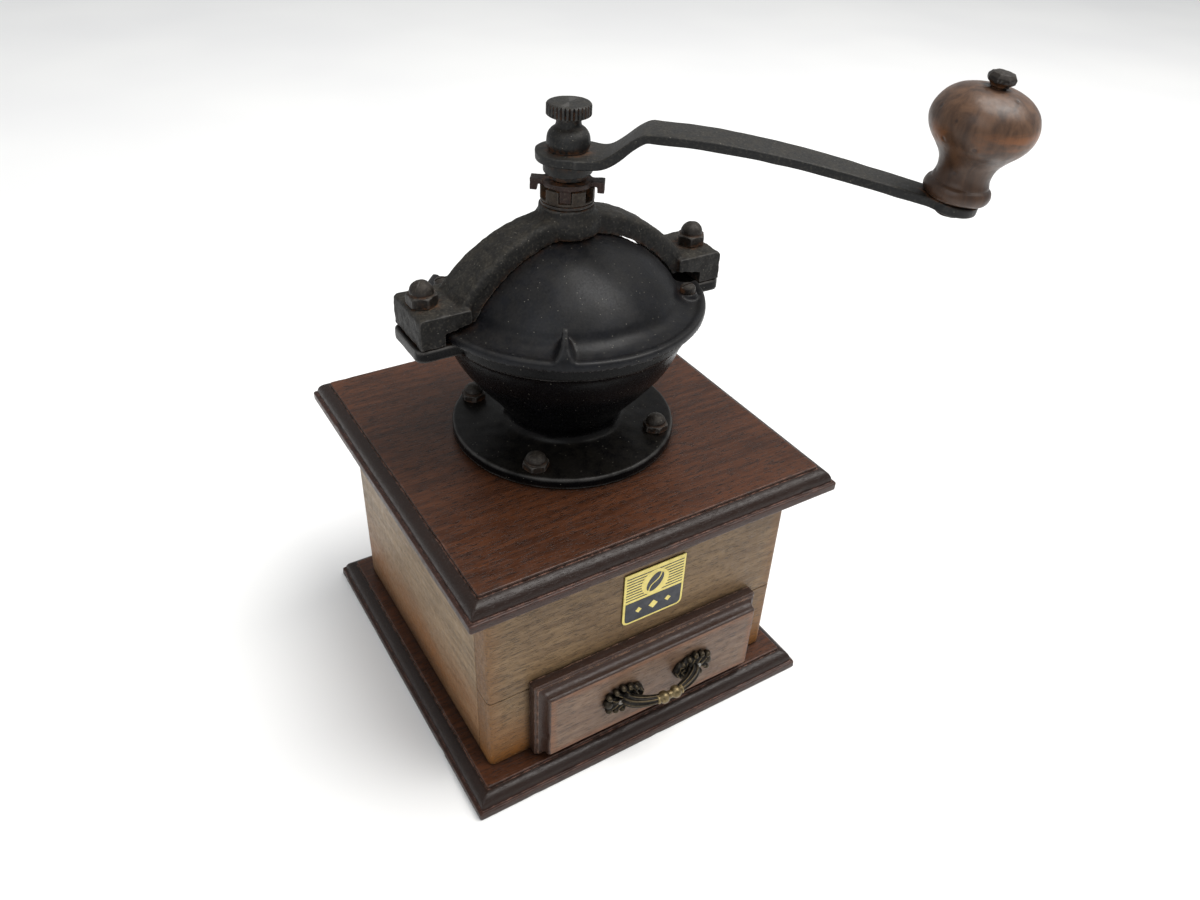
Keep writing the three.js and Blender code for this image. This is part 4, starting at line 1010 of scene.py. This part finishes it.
def make_lid():
    start = LID_AZIMUTH - LID_HALF_SPAN
    shell = part_lathe(lid_profile(), start, start + 2 * LID_HALF_SPAN, 150)
    pads = [screw_pad("lid_screw_" + side) for side in ("left", "right")]
    obj = new_object("lid_casting", combine(shell, lid_fin(), *pads))
    fuse(obj, 0.6, 3)
    roughen(obj, 6, 0.1, 2.0)
    piece(obj, "lid", "cast_iron", DOME_IRON, ["lid_dome"])
    for side in ("left", "right"):
        node = "lid_screw_" + side
        low, high, centre = node_box(node)
        top = high.z - low.z
        profile = soften([(AXIS, 0), (1.3, 0), (1.3, top - STOP_HEAD), (2.9, top - STOP_HEAD, 0.3),
                          (2.9, top - 1.0, 0.6), (2.0, top - 0.2, 0.8), (AXIS, top)])
        obj = new_object(node + "_head", standing_at(node, lathe(profile, 48)))
        slot = prism(rectangle(-4, -0.4, 4, 0.4), high.z - 1.1, high.z + 1)
        bore(obj, shifted(slot, centre.x, centre.y, 0))
        piece(obj, "lid", "forged_steel", NUT_IRON, [node], 30)


def make_rear_dome():
    outer = DOME_RADIUS - DOME_WALL - 0.4
    inner = outer - DOME_WALL
    low = node_box("rear_dome")[0]
    shelf = RIM_Z - 0.2
    flange = 47.9
    shelf_angle = degrees(asin((shelf - DOME_CENTRE_Z) / outer))
    base_angle = degrees(asin((low.z - DOME_CENTRE_Z) / inner))
    profile = soften([(flange, low.z, 0.3), (flange, shelf, 0.3), (flange - 4, shelf)])
    profile += dome_arc(outer, shelf_angle, dome_angle(outer, DOME_HOLE), 30)
    profile += dome_arc(inner, dome_angle(inner, DOME_HOLE), base_angle, 24)
    obj = new_object("rear_dome_casting", part_lathe(profile, -18, 162, 130))
    roughen(obj, 6, 0.08, 4.0)
    piece(obj, "mill_body", "cast_iron", DOME_IRON, ["rear_dome"])


# ---- Bridge
BRIDGE_INNER = 51.55
BRIDGE_OUTER = 58.5
FOOT_NOTCH_Z = 178.2
FOOT_NOTCH_LOW = 176.1
BRIDGE_LOW, BRIDGE_HIGH, _ = node_box("bridge")


def bridge_arch():
    """The arch: round-backed, hugging the dome, and broader towards its feet."""
    start = degrees(asin((FOOT_NOTCH_Z - DOME_CENTRE_Z) / BRIDGE_INNER)) - 1
    rings = []
    count = 90
    for k in range(count + 1):
        angle = radians(start + (180 - 2 * start) * k / count)
        half = 7.4 + 3.8 * abs(cos(angle)) ** 1.5
        belly = [half * (1 - k / 5) for k in range(11)]
        section = [(y, sqrt(BRIDGE_INNER ** 2 - y ** 2)) for y in belly]
        section += soften([(-half, BRIDGE_INNER), (-half, BRIDGE_OUTER, 3.6),
                           (half, BRIDGE_OUTER, 3.6), (half, BRIDGE_INNER)], steps=6)
        rings.append([(r * cos(angle), y, DOME_CENTRE_Z + r * sin(angle))
                      for y, r in section])
    return skin(rings)


def bridge_foot(sign):
    top = 183.2
    steps = [(43.6, FOOT_NOTCH_Z), (53.9, FOOT_NOTCH_LOW), (53.9, BRIDGE_LOW.z),
             (BRIDGE_HIGH.x, BRIDGE_LOW.z, 0.8), (BRIDGE_HIGH.x, top, 1.8), (43.6, top, 1.2)]
    outline = [(sign * x, z) for x, z in soften(steps, True)]
    return upright(outline, -FOOT_WIDTH / 2, FOOT_WIDTH / 2)


def make_bridge():
    top = BRIDGE_HIGH.z
    boss = lathe(soften([
        (AXIS, 199.8), (11.6, 199.8, 0.8), (12.4, 204.4, 2), (10.3, 207.6, 2), (10.1, top, 0.5),
        (AXIS, top)]), 96)
    shape = combine(bridge_arch(), bridge_foot(-1), bridge_foot(1), boss)
    obj = new_object("bridge_casting", shape)
    fuse(obj, 0.5, 3)
    roughen(obj, 4, 0.3, 7.0)
    roughen(obj, 1.6, 0.12, 3.0)
    bore(obj, lathe([(AXIS, 190), (6.1, 190), (6.1, 220), (AXIS, 220)], 64))
    piece(obj, "mill_body", "cast_iron", BRIDGE_IRON, ["bridge"])
    dress("bridge_bushing", BUSHING_BRASS, 0.1)


# ---- Grind setting
STOPPER_AZIMUTH = -35
SPINDLE_BORE = 5.3


def washer(radius, base, top):
    """A ring round the spindle with slightly broken edges."""
    corners = [(SPINDLE_BORE, base), (radius, base), (radius, top), (SPINDLE_BORE, top)]
    return lathe(soften([(*corner, 0.25) for corner in corners], True, 3), 96, bored=True)


def slotted_crown(radius, root, slots, half_width, base, top):
    """A ring with slots cut into its outside."""
    outline = []
    for slot in range(slots):
        middle = STOPPER_AZIMUTH + 90 + 360 / slots * slot
        reach = degrees(asin(half_width / radius))
        foot = degrees(asin(half_width / root))
        outline += [(root, middle - foot), (root, middle + foot)]
        gap = 360 / slots - 2 * reach
        outline += [(radius, middle + reach + gap * k / 10) for k in range(11)]
    rings = [[polar(reach, radians(a), z) for reach, a in outline] for z in (base, top)]
    rings += [[polar(SPINDLE_BORE, radians(a), z) for _, a in outline] for z in (top, base)]
    return skin(rings, loop=True)


def box_shape(low, high):
    return prism(rectangle(low[0], low[1], high[0], high[1]), low[2], high[2])


def make_adjuster():
    low, high, _ = node_box("thrust_washer")
    plain_piece("thrust_washer_ring", washer(high.x, low.z, high.z), "adjuster", "forged_steel",
                NUT_IRON, ["thrust_washer"])
    low, high, _ = node_box("adjusting_nut")
    floor = low.z + 0.6
    nut = combine(washer(9.7, low.z, floor + 0.3),
                  slotted_crown(9.7, 6.6, 6, 2.3, floor, high.z))
    obj = new_object("adjusting_nut_crown", nut)
    fuse(obj, 0.22, 2)
    piece(obj, "adjuster", "forged_steel", SETTER_STEEL, ["adjusting_nut"])
    low, high, _ = node_box("stopper")
    plate = high.z - 1.8
    shapes = [washer(9, plate, high.z)]
    for turn in (0, 180):
        azimuth = STOPPER_AZIMUTH + turn
        ear = combine(box_shape((8, -2.6, plate), (13.1, 2.6, high.z)),
                      box_shape((10.6, -2.6, plate - 2.2), (13.1, 2.6, high.z)))
        leg = box_shape((6.9, -2, low.z), (8.8, 2, high.z))
        shapes += [turned_by(ear, azimuth), turned_by(leg, azimuth + 90)]
    obj = new_object("stopper_plate", combine(*shapes))
    fuse(obj, 0.24, 2)
    roughen(obj, 2, 0.12, 3.0)
    piece(obj, "adjuster", "forged_steel", STOPPER_STEEL, ["stopper"])


# ---- Spindle, spring and cap nut
def make_spindle():
    for node in ("spindle_shaft", "burr_nut", "spring_washer"):
        dress(node, SHAFT_STEEL, 0.2)
    for node in ("inner_burr", "outer_burr_ring", "burr_ring_screw_1", "burr_ring_screw_2"):
        dress(node, BURR_STEEL, 0.15)
    low, high, _ = node_box("burr_spring")
    wire = 0.8
    mean = (high.x - low.x) / 2 - wire
    turns = 4.5
    steps = 200
    path = []
    for k in range(steps + 1):
        share = k / steps
        angle = TURN * turns * share
        z = low.z + wire + (high.z - low.z - 2 * wire) * share
        path.append(Vector(polar(mean, angle, z)))
    obj = new_object("burr_spring_coil", rod(path, wire, 14))
    piece(obj, "spindle", "bare_steel", SHAFT_STEEL, ["burr_spring"])
    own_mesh(obj)
    low, high, _ = node_box("hub_collar")
    profile = soften([(SPINDLE_BORE, low.z, 0.2), (6.6, low.z, 0.3), (6.6, high.z - 4.1, 0.5),
                      (8.7, high.z - 4.1, 0.7), (8.7, high.z, 0.7), (SPINDLE_BORE, high.z, 0.2)],
                     True)
    obj = new_object("hub_collar_ring", lathe(profile, 96, bored=True))
    roughen(obj, 3, 0.15, 5.0)
    piece(obj, "spindle", "forged_steel", CRANK_STEEL, ["hub_collar"])


def make_cap_nut():
    low, high, _ = node_box("cap_nut")
    base = low.z
    head = high.z - 4.5
    teeth = 32
    body = smooth_curve([(7.0, base), (7.55, base + 1.6), (7.6, base + 3.2), (7.2, base + 5.2),
                         (6.1, base + 6.8), (4.7, base + 7.9), (4.35, base + 9.2),
                         (4.4, head - 0.8), (5.0, head)], 4)
    crown = soften([(7.0, head, 0.3), (7.85, head + 0.4, 0.5), (7.85, high.z - 0.7, 0.4),
                    (7.1, high.z - 0.05, 0.5), (3, high.z - 0.15), (AXIS, high.z - 0.1)])

    def knurl(angle):
        swing = abs(((angle * teeth / TURN) % 1) - 0.5) * 2
        return 7.2 + 0.6 * min(1.0, swing * 1.5)

    obj = new_object("cap_nut_knurled", combine(
        lathe([(AXIS, base), (6.4, base), *body, (AXIS, head + 0.1)], 96),
        lathe([(AXIS, head), *crown], teeth * 8, limit=knurl)))
    roughen(obj, 2.5, 0.08, 6.0)
    piece(obj, "spindle", "forged_steel", CRANK_STEEL, ["cap_nut"], 28)


# ---- Crank and knob
CRANK_AZIMUTH = -43
CRANK_LENGTH = 128.6
CRANK_SLOPE = 7.4
CRANK_THICK = 3.2
CRANK_BEND = 30
CRANK_BOW = 2.9
HUB_RADIUS = 11.5
HUB_TOP = 228.8
EYE_RADIUS = 8.6
EYE_TOP_Z = 226.4
KNOB_HEIGHT = 36
BEND_HALF_WIDTH = 8.5
TIP_HALF_WIDTH = 6


def crank_half_width(x):
    """Half the crank's width: the hub's disc, a waisted neck, the arm and the eye's disc."""
    hub = sqrt(max(0.0, HUB_RADIUS ** 2 - x ** 2))
    eye = sqrt(max(0.0, EYE_RADIUS ** 2 - (x - CRANK_LENGTH) ** 2))
    if x < 4:
        return hub
    if x > CRANK_LENGTH + 2:
        return eye
    neck = 2.4 * max(0.0, 1 - x / CRANK_BEND)
    taper = max(0.0, x - CRANK_BEND) / (CRANK_LENGTH - CRANK_BEND)
    arm = BEND_HALF_WIDTH + neck + (TIP_HALF_WIDTH - BEND_HALF_WIDTH) * taper
    sharp = 8
    return (hub ** sharp + eye ** sharp + arm ** sharp) ** (1 / sharp)


def crank_path():
    """The top of the crank from hub to eye, as [x, z]."""
    fall = tan(radians(CRANK_SLOPE))

    def arm_top(x):
        share = max(0.0, min(1.0, (x - CRANK_BEND) / (CRANK_LENGTH - CRANK_BEND)))
        return EYE_TOP_Z + fall * (CRANK_LENGTH - x) + CRANK_BOW * sin(pi * share ** 0.8)

    rise = [(11.5, 0.15), (14.5, 1.2), (18, 3.7), (22, 7.2), (25.5, 9.6), (28, 10.5)]
    knots = [(-HUB_RADIUS, HUB_TOP), (-4, HUB_TOP), (3, HUB_TOP), (8, HUB_TOP)]
    knots += [(x, HUB_TOP + up) for x, up in rise]
    knots += [(x, arm_top(x)) for x in (31, 40, 52, 66, 80, 94, 108, 118)]
    knots += [(CRANK_LENGTH - EYE_RADIUS / 2, arm_top(CRANK_LENGTH - EYE_RADIUS / 2)),
              (CRANK_LENGTH, EYE_TOP_Z),
              (CRANK_LENGTH + EYE_RADIUS, arm_top(CRANK_LENGTH + EYE_RADIUS))]
    return smooth_curve(knots, 8)


def make_crank():
    path = crank_path()

    def top_at(x):
        for a, b in zip(path, path[1:]):
            if a.x <= x <= b.x:
                share = (x - a.x) / max(b.x - a.x, 1e-6)
                return a.y + (b.y - a.y) * share, atan2(b.y - a.y, b.x - a.x)
        return path[-1].y, -radians(CRANK_SLOPE)

    quarter = [radians(90 * k / 14) for k in range(15)]
    stations = [-(HUB_RADIUS - 0.03) * cos(t) for t in quarter]
    stations += [CRANK_LENGTH * k / 110 for k in range(1, 110)]
    stations += [CRANK_LENGTH + (EYE_RADIUS - 0.03) * sin(t) for t in quarter]
    rings = []
    for x in stations:
        half = max(crank_half_width(x), 0.4)
        z, lean = top_at(x)
        round_by = min(0.8, 0.5 * half)
        section = rectangle(-half, -CRANK_THICK, half, 0, [round_by] * 4)
        ring = []
        for across, up in section:
            ring.append((x - up * sin(lean), across, z + up * cos(lean)))
        rings.append(ring)
    obj = new_object("crank_forging", turned_by(skin(rings), CRANK_AZIMUTH))
    roughen(obj, 7, 0.18, 1.0)
    piece(obj, "spindle", "forged_steel", CRANK_STEEL, ["crank_arm"], 50)


def on_eye(shape):
    """Stands a piece made about Z on the crank's eye, square to its slope."""
    place = Matrix.Translation((CRANK_LENGTH, 0, EYE_TOP_Z))
    return moved(shape, rotation(CRANK_AZIMUTH) @ place @ rotation(CRANK_SLOPE, "Y"))


def make_knob():
    side = smooth_curve([
        (9.0, 0.6), (10.3, 1.5), (10.9, 3.3), (10.4, 5.2), (9.1, 6.9), (8.7, 9.7), (9.6, 13),
        (12.0, 16.4), (14.8, 19.4), (16.4, 22.3), (16.9, 25.2), (16.4, 28.3), (14.6, 31.4),
        (11.3, 34.0), (7, 35.6), (3.4, KNOB_HEIGHT)], 5)
    bead = []
    for r, h in side:
        groove = 0.35 * exp(-((h - 6.0) / 0.35) ** 2)
        bead.append((r - groove, h))
    profile = [(2.5, 0.5), (8.4, 0.5), *bead, (2.5, KNOB_HEIGHT - 0.4)]
    obj = new_object("knob_turned", on_eye(lathe(profile, 128, bored=True)))
    roughen(obj, 9, 0.3, 2.0)
    roughen(obj, 3, 0.06, 5.0)
    piece(obj, "handle_knob", "knob_wood", KNOB_WOOD, ["knob"])
    under = -CRANK_THICK - 0.3
    top = KNOB_HEIGHT + 0.3
    axle = lathe(soften([
        (AXIS, under - 1.8), (4.2, under - 1.5, 0.5), (4.6, under, 0.3), (2.35, under, 0.1),
        (2.35, top, 0.1), (3, top, 0.2), (3, top + 1.3, 0.2), (AXIS, top + 1.3)]), 48)
    head = lathe([(AXIS, top + 0.9), (3.5, top + 0.8), (4.5, top + 1.5), (4.6, top + 2.8),
                  (3.7, top + 4.0), (2.1, top + 4.4), (AXIS, top + 4.4)], 8)
    obj = new_object("knob_bolt_forged", combine(on_eye(axle), on_eye(turned_by(head, 20))))
    fuse(obj, 0.2, 1)
    roughen(obj, 2, 0.12, 8.0)
    piece(obj, "spindle", "forged_steel", NUT_IRON, ["knob_bolt"], 22)


# ---- Camera, light and floor
CAMERA_PLACE = Vector((-163.69, -281.27, 339.81))
CAMERA_HEADING = 57.0
CAMERA_ELEVATION = -36.22
CAMERA_ROLL = 2.79
LENS = 28.67
SENSOR = 36


def make_camera():
    heading = radians(CAMERA_HEADING)
    elevation = radians(CAMERA_ELEVATION)
    roll = radians(CAMERA_ROLL)
    ahead = Vector((cos(heading) * cos(elevation),
                    sin(heading) * cos(elevation), sin(elevation)))
    level = Vector((sin(heading), -cos(heading), 0))
    above = level.cross(ahead)
    right = level * cos(roll) + above * sin(roll)
    up = right.cross(ahead)
    data = bpy.data.cameras.new("camera")
    data.lens = LENS
    data.sensor_width = SENSOR
    data.clip_start = 0.01
    camera = bpy.data.objects.new("camera", data)
    camera.matrix_world = Matrix.Translation(CAMERA_PLACE * MM) @ Matrix(
        (right, up, -ahead)).transposed().to_4x4()
    bpy.context.scene.collection.objects.link(camera)
    bpy.context.scene.camera = camera


def add_softbox(name, azimuth, elevation, distance, size, watts, color):
    """A round lamp that looks at the middle of the mill; lengths in metres."""
    a, e = radians(azimuth), radians(elevation)
    way = Vector((cos(a) * cos(e), sin(a) * cos(e), sin(e)))
    data = bpy.data.lights.new(name, "AREA")
    data.shape = "DISK"
    data.size = size
    data.energy = watts
    data.color = color
    lamp = bpy.data.objects.new(name, data)
    lamp.location = Vector((0, 0, 0.12)) + way * distance
    lamp.rotation_mode = "QUATERNION"
    lamp.rotation_quaternion = way.to_track_quat("Z", "Y")
    bpy.context.scene.collection.objects.link(lamp)


def make_floor():
    half = 4000
    obj = new_object("floor", prism(rectangle(-half, -half, half, half), -20, -0.05))
    g = Graph("floor_white")
    cloud = g.noise(300, detail=2)
    g.color = g.mix(g.range(cloud, 0.3, 0.7), paint(238, 238, 238), paint(243, 243, 242))
    obj.data.materials.append(g.finish(0.6))


def make_light():
    add_softbox("key_light", -30, 65, 1.5, 1.3, 31, (1.0, 0.985, 0.96))
    add_softbox("fill_light", 215, 40, 2.2, 1.8, 13, (0.96, 0.98, 1.0))
    world = bpy.data.worlds.new("soft_room")
    world.use_nodes = True
    background = world.node_tree.nodes["Background"]
    background.inputs["Color"].default_value = (0.97, 0.985, 1.0, 1.0)
    background.inputs["Strength"].default_value = 0.55
    bpy.context.scene.world = world
    bpy.context.scene.view_settings.view_transform = "Standard"


make_camera()
make_light()
make_floor()
make_boards()
make_case()
make_badge_plate()
make_badge_field()
make_badge_bean()
make_badge_diamonds()
make_drawer_front()
make_drawer_box()
make_pull()
make_hopper()
make_nuts()
make_lid()
make_rear_dome()
make_bridge()
make_adjuster()
make_spindle()
make_cap_nut()
make_crank()
make_knob()
